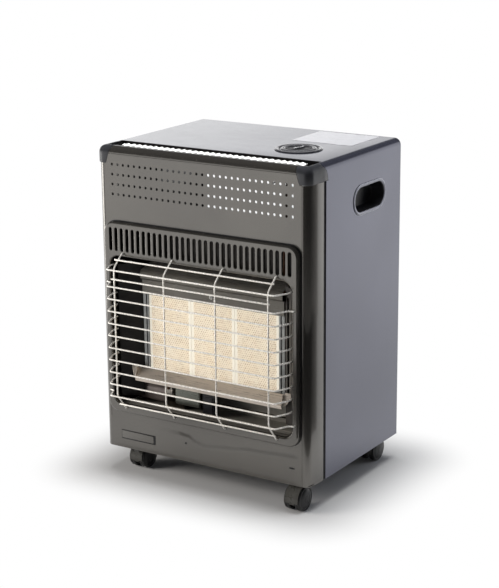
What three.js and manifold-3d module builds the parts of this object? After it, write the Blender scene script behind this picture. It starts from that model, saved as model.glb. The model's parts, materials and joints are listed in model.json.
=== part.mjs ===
// Portable gas cabinet heater: a sheet-metal cabinet on four twin-wheel castors, with a ceramic plaque
// burner behind a wire guard. Millimetres. X runs to the right seen from the front, Y to the back, Z up.
// All pieces are drawn in the cabinet's frame (x = 0 in the middle, y = 0 on the front sheet, z = 0 on the
// floor) and the whole is moved along Y at the end, so that its bounding box is centred.
import * as THREE from "three";
import { mergeVertices } from "three/addons/utils/BufferGeometryUtils.js";
import Module from "manifold-3d";

const wasm = await Module();
wasm.setup();

// ---------------------------------------------------------------- driving dimensions

// cabinet
const WIDTH = 420;
const DEPTH = 310;
const BODY_HEIGHT = 539;
const FLOOR_GAP = 45;
const SHEET = 1.2;
const EDGE_R = 12;
const GAP = 0.4;
const SEAM_Y = 51;
const SEAM_GAP = 2.4;
const RETURN_FOLD = 9;
const REAR_FLANGE = 13;

// top vent and corner caps
const VENT_REAR_Y = 57.5;
const VENT_LIP = 5.5;
const ROLL_FLANGE = 3;
const CAP_HEIGHT = 29;
const CAP_DEPTH = 58;
const CAP_TOP_DEPTH = 45;
const CAP_WALL = 2;
const CAP_WIDTH_LOW = 19.6;
const CAP_WIDTH_HIGH = 29;

// hole pattern shared by the perforations, the slots and the vent comb
const COLUMNS = 32;
const COLUMN_MARGIN = 31.75;
const HOLE_ROWS = 4;
const HOLE_ROW_PITCH = 17.13;
const HOLE_TOP = 508.7;
const HOLE_R = 2.45;
const HOLE_SIDES = 6;

// raised surround of the window
const SURROUND_MARGIN = 17;
const SURROUND_LOW = 70;
const SURROUND_HIGH = 411;
const SURROUND_RAISE = 10;
const SURROUND_R = 20;
const WINDOW_MARGIN = 11;
const WINDOW_LOW = 85;
const WINDOW_HIGH = 352;
const WINDOW_R = 18;
const WINDOW_FLANGE = 16;
const SLOT_LOW = 361;
const SLOT_HIGH = 401.5;
const SLOT_WIDTH = 6.6;
const PANEL_CUT_MARGIN = 2;

// wire guard
const WIRE_R = 1.5;
const WIRE_SIDES = 6;
const GUARD_REACH = 39;
const GUARD_INSET = 15;
const GUARD_ROOT_INSET = 3.6;
const GUARD_HOOK_INSET = 3;
const GUARD_BARS = 14;
const GUARD_BAR_PITCH = 21.8;
const GUARD_FOURTH_DROP = 47;
const GUARD_THIRD_DROP = 33;
const GUARD_SECOND_DROP = 17.6;
const GUARD_UPRIGHTS = 4;
const UPRIGHT_INSET = 13.55;
const UPRIGHT_BEND_MARGIN_HIGH = 3.6;
const UPRIGHT_BEND_MARGIN_LOW = 1.2;
const UPRIGHT_ROOT_RISE = 7;
const UPRIGHT_ROOT_DROP = 6;
const HOOK_CLEARANCE = 0.8;

// burner
const PLAQUES = 3;
const PLAQUE_PITCH = 88;
const PLAQUE_HEIGHT = 132;
const PLAQUE_LOW = 146.5;
const PLAQUE_Y = 33;
const PLAQUE_THICK = 12;
const PLAQUE_GAP = 0.4;
const BURNER_HALF = 143.4;
const BURNER_MARGIN = 12;
const BURNER_DEPTH = 46;
const HOOD_HIGH = 322;
const HOOD_STEP = 305;
const HOOD_REACH = 8;

// back of the cabinet
const SHIELD_Y = 95;
const SHIELD_HIGH = 420;
const COVER_HIGH = 330;
const COVER_MARGIN = 6;
const STAND_R = 85;
const STAND_RISE = 2.5;

// control
const KNOB_FROM_SIDE = 100.5;
const KNOB_Y = 135;
const KNOB_R = 21;
const BEZEL_R = 40.4;
const BEZEL_CUP_DEPTH = 16;
const KNOB_TRAVEL = 5;
const SPINDLE_R = 3;
const RUNNING_FIT = 0.06;

// side handles
const HANDLE_Y = 198.5;
const HANDLE_Z = 457;
const HANDLE_LENGTH = 113;
const HANDLE_HEIGHT = 53;
const HANDLE_RIM = 6;
const HANDLE_PROUD = 1.7;
const HANDLE_DEPTH = 26;

// castors: where each stem stands, and how far it is swivelled
const CASTORS = [
  { name: "front_left", x: 52 - WIDTH / 2, y: 25, turn: 0 },
  { name: "front_right", x: WIDTH / 2 - 29, y: 25, turn: 180 },
  { name: "rear_left", x: 34 - WIDTH / 2, y: DEPTH - 45, turn: 0 },
  { name: "rear_right", x: WIDTH / 2 - 35, y: DEPTH - 45, turn: 0 },
];
const WHEEL_R = 21;
const WHEEL_INNER = 5;
const WHEEL_OUTER = 16;
const WHEEL_DOME = 2.6;
const CASTOR_TRAIL = 14.5;
const CASTOR_WEB = 4.6;
const CASTOR_HOOD_HALF = 12.6;
const CASTOR_HOOD_THICK = 1.3;
const CASTOR_HOOD_LOW = 17;
const AXLE_R = 2.5;
const STEM_R = 4;
const STEM_TOP = 61;
const BOSS_R = 11;

// derived
const HALF = WIDTH / 2;
const BASE = FLOOR_GAP;
const TOP = FLOOR_GAP + BODY_HEIGHT;
const FACE_Y = -SURROUND_RAISE;
const COLUMN_HALF = HALF - COLUMN_MARGIN;
const COLUMN_PITCH = (2 * COLUMN_HALF) / (COLUMNS - 1);
const VENT_HALF = HALF - EDGE_R;
const CAP_LOW = TOP - CAP_HEIGHT;
const CAP_SEAM_LOW = HALF - CAP_WIDTH_LOW;
const CAP_SEAM_HIGH = HALF - CAP_WIDTH_HIGH;
const SURROUND_HALF = HALF - SURROUND_MARGIN;
const WINDOW_HALF = SURROUND_HALF - WINDOW_MARGIN;
// The guard's bars and bends are set from the window's top and bottom edges.
const GUARD_FOURTH_BAR = WINDOW_HIGH - GUARD_FOURTH_DROP;
const GUARD_THIRD_BAR = WINDOW_HIGH - GUARD_THIRD_DROP;
const GUARD_SECOND_BAR = WINDOW_HIGH - GUARD_SECOND_DROP;
const GUARD_LAST_BAR = GUARD_FOURTH_BAR - (GUARD_BARS - 5) * GUARD_BAR_PITCH;
const UPRIGHT_HIGH = GUARD_SECOND_BAR + UPRIGHT_BEND_MARGIN_HIGH;
const UPRIGHT_LOW = GUARD_LAST_BAR + UPRIGHT_BEND_MARGIN_LOW;
const UPRIGHT_TOP_ROOT = WINDOW_HIGH + UPRIGHT_ROOT_RISE;
const UPRIGHT_LOW_ROOT = WINDOW_LOW - UPRIGHT_ROOT_DROP;
const GUARD_HALF = WINDOW_HALF - GUARD_INSET;
const GUARD_ROOT_HALF = WINDOW_HALF - GUARD_ROOT_INSET;
const GUARD_HOOK_HALF = SURROUND_HALF - GUARD_HOOK_INSET;
const GUARD_UPRIGHT_PITCH = (2 * (GUARD_HALF - UPRIGHT_INSET)) / (GUARD_UPRIGHTS - 1);
const COVER_HALF = HALF - COVER_MARGIN;
const KNOB_X = HALF - KNOB_FROM_SIDE;

// ---------------------------------------------------------------- materials

const paint = (color, metalness, roughness) => new THREE.MeshStandardMaterial({ color, metalness, roughness });
const CHARCOAL = paint(0x77736f, 0.4, 0.35);
const CAP_PLASTIC = paint(0x6f7178, 0.0, 0.45);
const BLACK_PLASTIC = paint(0x1c1c1e, 0.0, 0.5);
const DARK_STEEL = paint(0x2b2826, 0.6, 0.5);
const BRIGHT_STEEL = paint(0xb9b8b4, 0.9, 0.25);
const ZINC = paint(0x9b9c9a, 0.8, 0.45);
const CHROME_WIRE = paint(0xe4e2dc, 0.9, 0.2);
const CERAMIC = paint(0xe9d9b8, 0.0, 0.9);
const BRASS = paint(0xb08d4a, 0.9, 0.35);
const COPPER = paint(0xa86b48, 0.9, 0.35);
const RUBBER = paint(0x202020, 0.0, 0.8);

// ---------------------------------------------------------------- solids

// A closed three.js geometry as a solid.
function solid(geometry) {
  const bare = new THREE.BufferGeometry();
  bare.setAttribute("position", geometry.getAttribute("position"));
  if (geometry.index) bare.setIndex(geometry.index);
  const merged = mergeVertices(bare, 1e-4);
  const made = new wasm.Manifold(
    new wasm.Mesh({
      numProp: 3,
      vertProperties: new Float32Array(merged.attributes.position.array),
      triVerts: new Uint32Array(merged.index.array),
    }),
  );
  return made;
}

const join = (first, ...rest) => rest.reduce((all, one) => all.add(one), first);
const cut = (first, ...rest) => rest.reduce((all, one) => all.subtract(one), first);
const common = (first, ...rest) => rest.reduce((all, one) => all.intersect(one), first);

function flatShape(outline, holes = []) {
  const shape = new THREE.Shape(outline.map(([u, v]) => new THREE.Vector2(u, v)));
  shape.holes = holes.map((hole) => new THREE.Path(hole.map(([u, v]) => new THREE.Vector2(u, v))));
  return shape;
}

// A flat outline pulled from a near to a far plane; place(u, v, far) gives each corner its exact position.
function prism(outline, holes, place) {
  const shape = flatShape(outline, holes);
  const geometry = new THREE.ExtrudeGeometry(shape, { depth: 1, bevelEnabled: false, steps: 1 });
  const corners = geometry.getAttribute("position");
  for (let i = 0; i < corners.count; i++) {
    corners.setXYZ(i, ...place(corners.getX(i), corners.getY(i), corners.getZ(i) > 0.5));
  }
  return solid(geometry);
}

// An outline of (x, y) points pulled along Z, of (y, z) points along X, and of (x, z) points along Y.
const alongZ = (outline, z0, z1, holes = []) => prism(outline, holes, (u, v, far) => [u, v, far ? z1 : z0]);
const alongX = (outline, x0, x1, holes = []) => prism(outline, holes, (u, v, far) => [far ? x1 : x0, u, v]);
const alongY = (outline, y0, y1, holes = []) => prism(outline, holes, (u, v, far) => [u, far ? y0 : y1, v]);
const box = (x0, x1, y0, y1, z0, z1) => alongZ(rectangle(x0, x1, y0, y1), z0, z1);

function arc(cx, cy, r, from, to, steps) {
  const points = [];
  for (let i = 0; i <= steps; i++) {
    const a = THREE.MathUtils.degToRad(from + ((to - from) * i) / steps);
    points.push([cx + r * Math.cos(a), cy + r * Math.sin(a)]);
  }
  return points;
}

function roundedRect(u0, u1, v0, v1, r, steps) {
  return [
    ...arc(u1 - r, v0 + r, r, -90, 0, steps),
    ...arc(u1 - r, v1 - r, r, 0, 90, steps),
    ...arc(u0 + r, v1 - r, r, 90, 180, steps),
    ...arc(u0 + r, v0 + r, r, 180, 270, steps),
  ];
}

const rectangle = (u0, u1, v0, v1) => [
  [u0, v0],
  [u1, v0],
  [u1, v1],
  [u0, v1],
];

function polygon(cu, cv, r, sides, phase = 0) {
  const points = [];
  for (let i = 0; i < sides; i++) {
    const a = ((i + phase) / sides) * 2 * Math.PI;
    points.push([cu + r * Math.cos(a), cv + r * Math.sin(a)]);
  }
  return points;
}

// The radius of a polygon whose flats just clear a round of the given radius.
const clearOf = (r, sides) => r / Math.cos(Math.PI / sides);

// A closed profile of (radius, height) points turned about Z.
function turned(profile, sides, phase = 0) {
  const points = [];
  const faces = [];
  const rings = profile.map(([r, z]) => {
    const start = points.length;
    const count = r === 0 ? 1 : sides;
    for (let i = 0; i < count; i++) {
      const a = ((i + phase) / sides) * 2 * Math.PI;
      points.push(new THREE.Vector3(r * Math.cos(a), r * Math.sin(a), z));
    }
    return { start, count };
  });
  const at = (ring, i) => ring.start + (ring.count === 1 ? 0 : i % sides);
  rings.forEach((low, k) => {
    const high = rings[(k + 1) % rings.length];
    for (let i = 0; i < sides; i++) {
      if (low.count > 1) faces.push(at(low, i), at(low, i + 1), at(high, i));
      if (high.count > 1) faces.push(at(low, i + 1), at(high, i + 1), at(high, i));
    }
  });
  return facing(points, faces);
}

// A closed surface of points and triangles, turned to face outwards.
function facing(points, faces) {
  let volume = 0;
  for (let i = 0; i < faces.length; i += 3) {
    const [a, b, c] = faces.slice(i, i + 3).map((k) => points[k]);
    volume += a.dot(new THREE.Vector3().crossVectors(b, c));
  }
  const index = volume < 0 ? faces.slice().reverse() : faces;
  const geometry = new THREE.BufferGeometry().setFromPoints(points);
  geometry.setIndex(index);
  return solid(geometry);
}

// Rings of equal length joined into one closed body, with flat ends.
function loft(rings) {
  const points = rings.flat().map((p) => new THREE.Vector3(...p));
  const n = rings[0].length;
  const faces = [];
  for (let k = 0; k + 1 < rings.length; k++) {
    for (let i = 0; i < n; i++) {
      const a = k * n + i;
      const b = k * n + ((i + 1) % n);
      faces.push(a, b, a + n, b, b + n, a + n);
    }
  }
  const last = (rings.length - 1) * n;
  for (let i = 1; i + 1 < n; i++) {
    faces.push(0, i + 1, i);
    faces.push(last, last + i, last + i + 1);
  }
  return facing(points, faces);
}

// A wire or pipe of constant section along a path, with mitred bends.
function rod(path, radius, sides) {
  const points = path.map((p) => new THREE.Vector3(...p));
  const rings = [];
  const first = new THREE.Vector3().subVectors(points[1], points[0]).normalize();
  const aside = Math.abs(first.z) < 0.9 ? new THREE.Vector3(0, 0, 1) : new THREE.Vector3(0, 1, 0);
  let across = new THREE.Vector3().crossVectors(first, aside).normalize();
  points.forEach((p, i) => {
    const before = i > 0 ? new THREE.Vector3().subVectors(p, points[i - 1]).normalize() : null;
    const after = i + 1 < points.length ? new THREE.Vector3().subVectors(points[i + 1], p).normalize() : null;
    const along = before || after;
    const up = new THREE.Vector3().crossVectors(along, across).normalize();
    const normal = before && after ? new THREE.Vector3().addVectors(before, after).normalize() : along;
    const ring = [];
    for (let k = 0; k < sides; k++) {
      const a = ((k + 0.5) / sides) * 2 * Math.PI;
      const offset = across.clone().multiplyScalar(Math.cos(a) * radius);
      offset.addScaledVector(up, Math.sin(a) * radius);
      offset.addScaledVector(along, -offset.dot(normal) / along.dot(normal));
      ring.push([p.x + offset.x, p.y + offset.y, p.z + offset.z]);
    }
    rings.push(ring);
    if (before && after) {
      const bend = new THREE.Quaternion().setFromUnitVectors(before, after);
      across = across.clone().applyQuaternion(bend);
    }
  });
  return loft(rings);
}

// A path with each inner corner replaced by a short run of points on a curve.
function eased(path, radius, steps = 3) {
  const points = path.map((p) => new THREE.Vector3(...p));
  const out = [path[0]];
  for (let i = 1; i + 1 < points.length; i++) {
    const a = points[i - 1].clone().sub(points[i]);
    const b = points[i + 1].clone().sub(points[i]);
    const reach = Math.min(radius, a.length() * 0.45, b.length() * 0.45);
    const from = points[i].clone().addScaledVector(a.normalize(), reach);
    const to = points[i].clone().addScaledVector(b.normalize(), reach);
    const curve = new THREE.QuadraticBezierCurve3(from, points[i], to);
    curve.getPoints(steps).forEach((p) => out.push([p.x, p.y, p.z]));
  }
  out.push(path[path.length - 1]);
  return out;
}

const placed = (body, x, y, z) => body.translate([x, y, z]);
const mirrored = (body) => body.mirror([1, 0, 0]);

// ---------------------------------------------------------------- scene

const heater = new THREE.Group();
heater.name = "gas_cabinet_heater";

function add(name, body, material, group = heater) {
  const mesh = body.getMesh();
  const geometry = new THREE.BufferGeometry();
  geometry.setAttribute("position", new THREE.BufferAttribute(mesh.vertProperties, 3));
  geometry.setIndex(new THREE.BufferAttribute(mesh.triVerts, 1));
  geometry.computeVertexNormals();
  const made = new THREE.Mesh(geometry, material);
  made.name = name;
  group.add(made);
}

const columns = Array.from({ length: COLUMNS }, (_, i) => -COLUMN_HALF + i * COLUMN_PITCH);

// ---------------------------------------------------------------- cabinet

// The inverted U of sides and top, seen from the front.
function hoodOutline(thick) {
  const inner = HALF - thick;
  const r = Math.max(EDGE_R - thick, 1);
  return [
    [-HALF, BASE],
    ...arc(-HALF + EDGE_R, TOP - EDGE_R, EDGE_R, 180, 90, 6),
    ...arc(HALF - EDGE_R, TOP - EDGE_R, EDGE_R, 90, 0, 6),
    [HALF, BASE],
    [inner, BASE],
    ...arc(inner - r, TOP - thick - r, r, 0, 90, 6),
    ...arc(-inner + r, TOP - thick - r, r, 90, 180, 6),
    [-inner, BASE],
  ].reverse();
}

// The side view of a corner cap, grown by a margin: its rear edge leans forward towards the top.
function capSideView(margin) {
  const rear = CAP_DEPTH + margin;
  const rearTop = CAP_TOP_DEPTH + margin;
  const lean = rear - rearTop;
  return [
    [-5, CAP_LOW - margin],
    [rear, CAP_LOW - margin],
    [rear - lean * 0.12, CAP_LOW + CAP_HEIGHT * 0.3],
    [rear - lean * 0.45, CAP_LOW + CAP_HEIGHT * 0.6],
    [rearTop, CAP_LOW + CAP_HEIGHT * 0.86],
    [rearTop, TOP + 5],
    [-5, TOP + 5],
  ];
}

function cabinetWrap() {
  const hull = alongY(hoodOutline(SHEET), CAP_TOP_DEPTH - 2, DEPTH);
  const rear = alongY(hoodOutline(REAR_FLANGE), DEPTH - SHEET, DEPTH);
  const lip = box(
    -VENT_HALF + 0.5,
    VENT_HALF - 0.5,
    VENT_REAR_Y,
    VENT_REAR_Y + SHEET,
    TOP - SHEET - VENT_LIP,
    TOP - SHEET / 2,
  );
  const seam = SEAM_Y + SEAM_GAP / 2;
  const handleCut = roundedRect(
    HANDLE_Y - HANDLE_LENGTH / 2 + HANDLE_RIM - 2 - GAP,
    HANDLE_Y + HANDLE_LENGTH / 2 - HANDLE_RIM + 2 + GAP,
    BASE + HANDLE_Z - HANDLE_HEIGHT / 2 + HANDLE_RIM - 2 - GAP,
    BASE + HANDLE_Z + HANDLE_HEIGHT / 2 - HANDLE_RIM + 2 + GAP,
    HANDLE_HEIGHT / 2 - HANDLE_RIM + 2 + GAP - 0.01,
    4,
  );
  return cut(
    join(hull, rear, lip),
    box(-VENT_HALF, VENT_HALF, 0, VENT_REAR_Y, TOP - 20, TOP + 5),
    box(-HALF - 5, HALF + 5, 0, seam, 0, CAP_LOW),
    alongX(capSideView(GAP), -HALF - 5, HALF + 5),
    alongX(handleCut, -HALF - 5, HALF + 5),
    alongZ(polygon(KNOB_X, KNOB_Y, 25.5, 24), TOP - 5, TOP + 5),
  );
}

function frontPanel() {
  const flat = HALF - EDGE_R;
  const lower = CAP_LOW - GAP;
  const seamAt = (z) => CAP_SEAM_LOW + ((z - CAP_LOW) / CAP_HEIGHT) * (CAP_SEAM_HIGH - CAP_SEAM_LOW);
  const rollLow = TOP - EDGE_R;
  const face = [
    [-flat, BASE],
    [flat, BASE],
    [flat, lower],
    [seamAt(lower), lower],
    [seamAt(rollLow), rollLow],
    [-seamAt(rollLow), rollLow],
    [-seamAt(lower), lower],
    [-flat, lower],
  ];
  const holes = [];
  for (let row = 0; row < HOLE_ROWS; row++) {
    columns.forEach((x) => {
      holes.push(polygon(x, BASE + HOLE_TOP - row * HOLE_ROW_PITCH, HOLE_R, HOLE_SIDES, 0.5));
    });
  }
  const margin = PANEL_CUT_MARGIN;
  const window = roundedRect(
    -WINDOW_HALF - margin,
    WINDOW_HALF + margin,
    BASE + WINDOW_LOW - margin,
    BASE + SLOT_HIGH + margin,
    8,
    2,
  );
  const plate = alongY(face, 0, SHEET, [window, ...holes]);
  const inner = EDGE_R - SHEET;
  const side = [
    [flat - 0.5, 0],
    ...arc(flat, EDGE_R, EDGE_R, -90, 0, 6),
    [HALF, SEAM_Y - SEAM_GAP / 2],
    [HALF - RETURN_FOLD, SEAM_Y - SEAM_GAP / 2],
    [HALF - RETURN_FOLD, SEAM_Y - SEAM_GAP / 2 - SHEET],
    [HALF - SHEET, SEAM_Y - SEAM_GAP / 2 - SHEET],
    ...arc(flat, EDGE_R, inner, 0, -90, 6),
    [flat - 0.5, SHEET],
  ];
  const right = alongZ(side, BASE, lower);
  const roll = [
    [0, rollLow - 0.5],
    [SHEET, rollLow - 0.5],
    ...arc(EDGE_R, rollLow, inner, 180, 90, 6),
    [EDGE_R + ROLL_FLANGE, TOP - SHEET],
    [EDGE_R + ROLL_FLANGE, TOP],
    ...arc(EDGE_R, rollLow, EDGE_R, 90, 180, 6),
  ];
  const rollBody = cut(
    alongX(roll, -CAP_SEAM_LOW, CAP_SEAM_LOW),
    alongY(
      [
        [seamAt(rollLow - 1), rollLow - 1],
        [CAP_SEAM_LOW + 5, rollLow - 1],
        [CAP_SEAM_LOW + 5, TOP + 1],
        [seamAt(TOP + 1), TOP + 1],
      ],
      -1,
      EDGE_R + ROLL_FLANGE + 1,
    ),
    alongY(
      [
        [-CAP_SEAM_LOW - 5, rollLow - 1],
        [-seamAt(rollLow - 1), rollLow - 1],
        [-seamAt(TOP + 1), TOP + 1],
        [-CAP_SEAM_LOW - 5, TOP + 1],
      ],
      -1,
      EDGE_R + ROLL_FLANGE + 1,
    ),
  );
  const teeth = [[COLUMN_HALF, EDGE_R + 1]];
  teeth.push([-COLUMN_HALF, EDGE_R + 1]);
  columns.forEach((x) => {
    teeth.push([x - (x === -COLUMN_HALF ? 0 : 2), EDGE_R + ROLL_FLANGE]);
    if (x < COLUMN_HALF - 1) teeth.push([x + COLUMN_PITCH / 2, EDGE_R + ROLL_FLANGE + 2.5]);
  });
  const comb = alongZ(teeth.reverse(), TOP - SHEET, TOP - 0.05);
  const hem = box(-flat, flat, SHEET / 2, 11, BASE, BASE + SHEET);
  return join(plate, right, mirrored(right), rollBody, comb, hem);
}

// A moulded cap over the left top front corner: three rounded pulls crossed, and hollowed.
function cornerCap() {
  const block = (inset) => {
    const r = EDGE_R - inset;
    const side = -HALF + inset;
    const top = TOP - inset;
    const plan = [[side, 90], ...arc(side + r, inset + r, r, 180, 270, 5), [-150, inset], [-150, 90]];
    const frontView = [[side, 500], [-150, 500], [-150, top], ...arc(side + r, top - r, r, 90, 180, 5)];
    const sideView = [[inset, 500], [90, 500], [90, top], ...arc(inset + r, top - r, r, 90, 180, 5)];
    return common(alongZ(plan, 500, TOP + 5), alongY(frontView, -5, 90), alongX(sideView, -HALF - 5, -150));
  };
  const shell = cut(block(0), block(CAP_WALL));
  const seam = [
    [-HALF - 5, CAP_LOW],
    [-CAP_SEAM_LOW - GAP, CAP_LOW],
    [-CAP_SEAM_HIGH - GAP, TOP + 1],
    [-HALF - 5, TOP + 1],
  ];
  const kept = common(shell, alongY(seam, -5, 90), alongX(capSideView(0), -HALF - 5, -150));
  return cut(
    kept,
    box(-VENT_HALF - GAP, -150, EDGE_R + ROLL_FLANGE, 90, CAP_LOW - 5, TOP + 5),
    box(-HALF + CAP_WALL, -150, -5, 90, CAP_LOW - 5, CAP_LOW),
  );
}

// A folded strip that closes the vent towards the back, one fold per column.
function ventComb() {
  const thick = 0.8;
  const outline = [];
  const back = [];
  const first = -COLUMN_HALF - COLUMN_PITCH * 1.5;
  for (let i = 0; i <= 2 * (COLUMNS + 2); i++) {
    const x = first + (i * COLUMN_PITCH) / 2;
    const y = VENT_REAR_Y - (i % 2 ? 2 : 8.5);
    outline.push([x, y]);
    back.push([x, y + thick * 1.6]);
  }
  return alongZ([...outline, ...back.reverse()], TOP - 11, TOP - 5.5);
}

// ---------------------------------------------------------------- surround and guard

const surroundRing = (inset, y) =>
  roundedRect(
    -SURROUND_HALF + inset,
    SURROUND_HALF - inset,
    BASE + SURROUND_LOW + inset,
    BASE + SURROUND_HIGH - inset,
    SURROUND_R - inset,
    5,
  ).map(([x, z]) => [x, y, z]);

const windowOutline = (inset) =>
  roundedRect(
    -WINDOW_HALF + inset,
    WINDOW_HALF - inset,
    BASE + WINDOW_LOW + inset,
    BASE + WINDOW_HIGH - inset,
    WINDOW_R - inset,
    5,
  );

const uprights = Array.from({ length: GUARD_UPRIGHTS }, (_, i) => {
  return (i - (GUARD_UPRIGHTS - 1) / 2) * GUARD_UPRIGHT_PITCH;
});

const hookedBars = [GUARD_FOURTH_BAR, GUARD_LAST_BAR];

function grilleSurround() {
  const skin = loft([
    surroundRing(0, -GAP),
    surroundRing(0.5, FACE_Y + 2.6),
    surroundRing(1.3, FACE_Y + 0.7),
    surroundRing(3, FACE_Y),
  ]);
  const inside = loft([surroundRing(SHEET, 5), surroundRing(SHEET + 0.5, FACE_Y + 3), surroundRing(4, FACE_Y + SHEET)]);
  const collar = alongY(windowOutline(0), FACE_Y + 0.1, FACE_Y + WINDOW_FLANGE);
  const slot = (x) =>
    roundedRect(
      x - SLOT_WIDTH / 2,
      x + SLOT_WIDTH / 2,
      BASE + SLOT_LOW,
      BASE + SLOT_HIGH,
      SLOT_WIDTH / 2 - 0.6,
      1,
    );
  const root = WIRE_R + HOOK_CLEARANCE;
  const wireHole = (x, z, tall) =>
    alongY(roundedRect(x - root, x + root, BASE + z - tall, BASE + z + tall, root * 0.6, 1), FACE_Y - 2, 0);
  const holes = uprights.flatMap((x) => [wireHole(x, UPRIGHT_TOP_ROOT - 1, 3), wireHole(x, UPRIGHT_LOW_ROOT + 0.5, 3)]);
  hookedBars.forEach((z) => {
    holes.push(wireHole(GUARD_HOOK_HALF - 3.4, z, root), wireHole(-GUARD_HOOK_HALF + 3.4, z, root));
  });
  const slots = columns.map((x) => alongY(slot(x), FACE_Y - 2, 0));
  const body = join(cut(skin, inside), collar);
  return cut(body, alongY(windowOutline(SHEET), FACE_Y - 2, FACE_Y + WINDOW_FLANGE + 2), ...slots, ...holes);
}

function wireGuard() {
  const wires = [];
  const yFront = -GUARD_REACH;
  const yBack = yFront + 2 * WIRE_R * 0.82;
  const yTip = FACE_Y + 1.4;
  for (let i = 2; i <= GUARD_BARS - 1; i++) {
    const lone = i === 3;
    let z = GUARD_FOURTH_BAR - (i - 4) * GUARD_BAR_PITCH;
    if (i === 2) z = GUARD_SECOND_BAR;
    if (i === 3) z = GUARD_THIRD_BAR;
    z += BASE;
    const hooked = hookedBars.some((h) => Math.abs(h + BASE - z) < 0.1);
    const reach = GUARD_HALF;
    let half = [
      [GUARD_ROOT_HALF, FACE_Y + 13, z],
      [GUARD_ROOT_HALF, FACE_Y - 2, z],
      [reach, yFront + 1.5, z],
      [reach - 3, yFront, z],
    ];
    if (hooked) {
      half = [
        [GUARD_HOOK_HALF - 3.4, yTip, z],
        [GUARD_HOOK_HALF - 3.4, FACE_Y - 2.2, z],
        [GUARD_ROOT_HALF - 0.4, FACE_Y - 3.6, z],
        [reach, yFront + 1.5, z],
        [reach - 3, yFront, z],
      ];
    }
    const other = half.map(([x, y, h]) => [-x, y, h]).reverse();
    const end = uprights[uprights.length - 1] + 4;
    const path = lone ? [[end, yFront, z], [-end, yFront, z]] : [...half, ...other];
    wires.push(rod(path, WIRE_R, WIRE_SIDES));
  }
  const slopeY = (z, z0, z1, y0, y1) => y0 + ((z - z0) / (z1 - z0)) * (y1 - y0);
  const rootY = FACE_Y - 2.5;
  uprights.forEach((x) => {
    wires.push(
      rod(
        [
          [x, yTip, BASE + UPRIGHT_TOP_ROOT],
          [x, rootY, BASE + UPRIGHT_TOP_ROOT - 1],
          [x, yBack, BASE + UPRIGHT_HIGH],
          [x, yBack, BASE + UPRIGHT_LOW],
          [x, rootY, BASE + UPRIGHT_LOW_ROOT + 1],
          [x, yTip, BASE + UPRIGHT_LOW_ROOT],
        ],
        WIRE_R,
        WIRE_SIDES,
      ),
    );
  });
  const end = uprights[uprights.length - 1] + 5;
  const lift = WIRE_R * 1.62;
  [
    { at: 0.5, high: UPRIGHT_HIGH, root: UPRIGHT_TOP_ROOT - 1 },
    { at: 0.6, high: UPRIGHT_LOW, root: UPRIGHT_LOW_ROOT + 1 },
  ].forEach(({ at, high, root }) => {
    const z = high + (root - high) * at;
    const y = slopeY(z, high, root, yBack, rootY);
    const run = Math.hypot(root - high, rootY - yBack);
    const outY = y - (lift * Math.abs(root - high)) / run;
    const outZ = BASE + z + (lift * (rootY - yBack) * Math.sign(root - high)) / run;
    wires.push(rod([[-end, outY, outZ], [end, outY, outZ]], WIRE_R, WIRE_SIDES));
  });
  return join(...wires);
}

// ---------------------------------------------------------------- burner

const plaqueRight = (PLAQUES * PLAQUE_PITCH) / 2 - 0.3;
const plaqueHigh = PLAQUE_LOW + PLAQUE_HEIGHT;

function plaque(index) {
  const x0 = (index - PLAQUES / 2) * PLAQUE_PITCH;
  const half = PLAQUE_GAP / 2;
  return box(
    x0 + half,
    x0 + PLAQUE_PITCH - half,
    PLAQUE_Y,
    PLAQUE_Y + PLAQUE_THICK,
    BASE + PLAQUE_LOW,
    BASE + plaqueHigh,
  );
}

function burnerHousing() {
  const low = BASE + PLAQUE_LOW - BURNER_MARGIN;
  const high = BASE + plaqueHigh + BURNER_MARGIN;
  const front = PLAQUE_Y - 1;
  const back = front + BURNER_DEPTH;
  const body = box(-BURNER_HALF, BURNER_HALF, front, back, low, high);
  const mouth = box(
    -plaqueRight - GAP,
    plaqueRight + GAP,
    front - 1,
    PLAQUE_Y + PLAQUE_THICK + 6,
    BASE + PLAQUE_LOW - GAP,
    BASE + plaqueHigh + GAP,
  );
  const chamber = box(
    -BURNER_HALF + SHEET,
    BURNER_HALF - SHEET,
    PLAQUE_Y + PLAQUE_THICK + 1,
    back - SHEET,
    low + SHEET,
    high - SHEET,
  );
  const groove = box(plaqueRight + 3.8, plaqueRight + 5.9, front - 1, front + 7, low - 1, high + 1);
  const feed = alongZ(roundedRect(-150 + 18, -150 + 46, 46, 68, 6, 3), low - 5, low + 5);
  return cut(body, mouth, chamber, groove, mirrored(groove), feed);
}

// Bright canopy over the plaques: an upright band, a lip that stands forward, and a sloping roof.
function burnerHood() {
  const y0 = PLAQUE_Y - 2 - GAP;
  const step = BASE + HOOD_STEP;
  const high = BASE + HOOD_HIGH;
  const lip = PLAQUE_Y - HOOD_REACH;
  const line = [
    [y0, BASE + plaqueHigh + 1],
    [y0, step],
    [lip + 1.5, step + 2],
    [lip, step + 4],
    [lip, high - 4],
    [lip + 1.5, high - 1],
    [lip + 5, high + 1],
    [lip + 34, high + 9],
  ];
  return foldedX(line, 1, -BURNER_HALF, BURNER_HALF);
}

// An outline in counter-clockwise order.
function fixTurn(outline) {
  const area = outline.reduce((sum, [u, v], i) => {
    const [p, q] = outline[(i + 1) % outline.length];
    return sum + u * q - p * v;
  }, 0);
  return area < 0 ? outline.slice().reverse() : outline;
}

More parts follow.
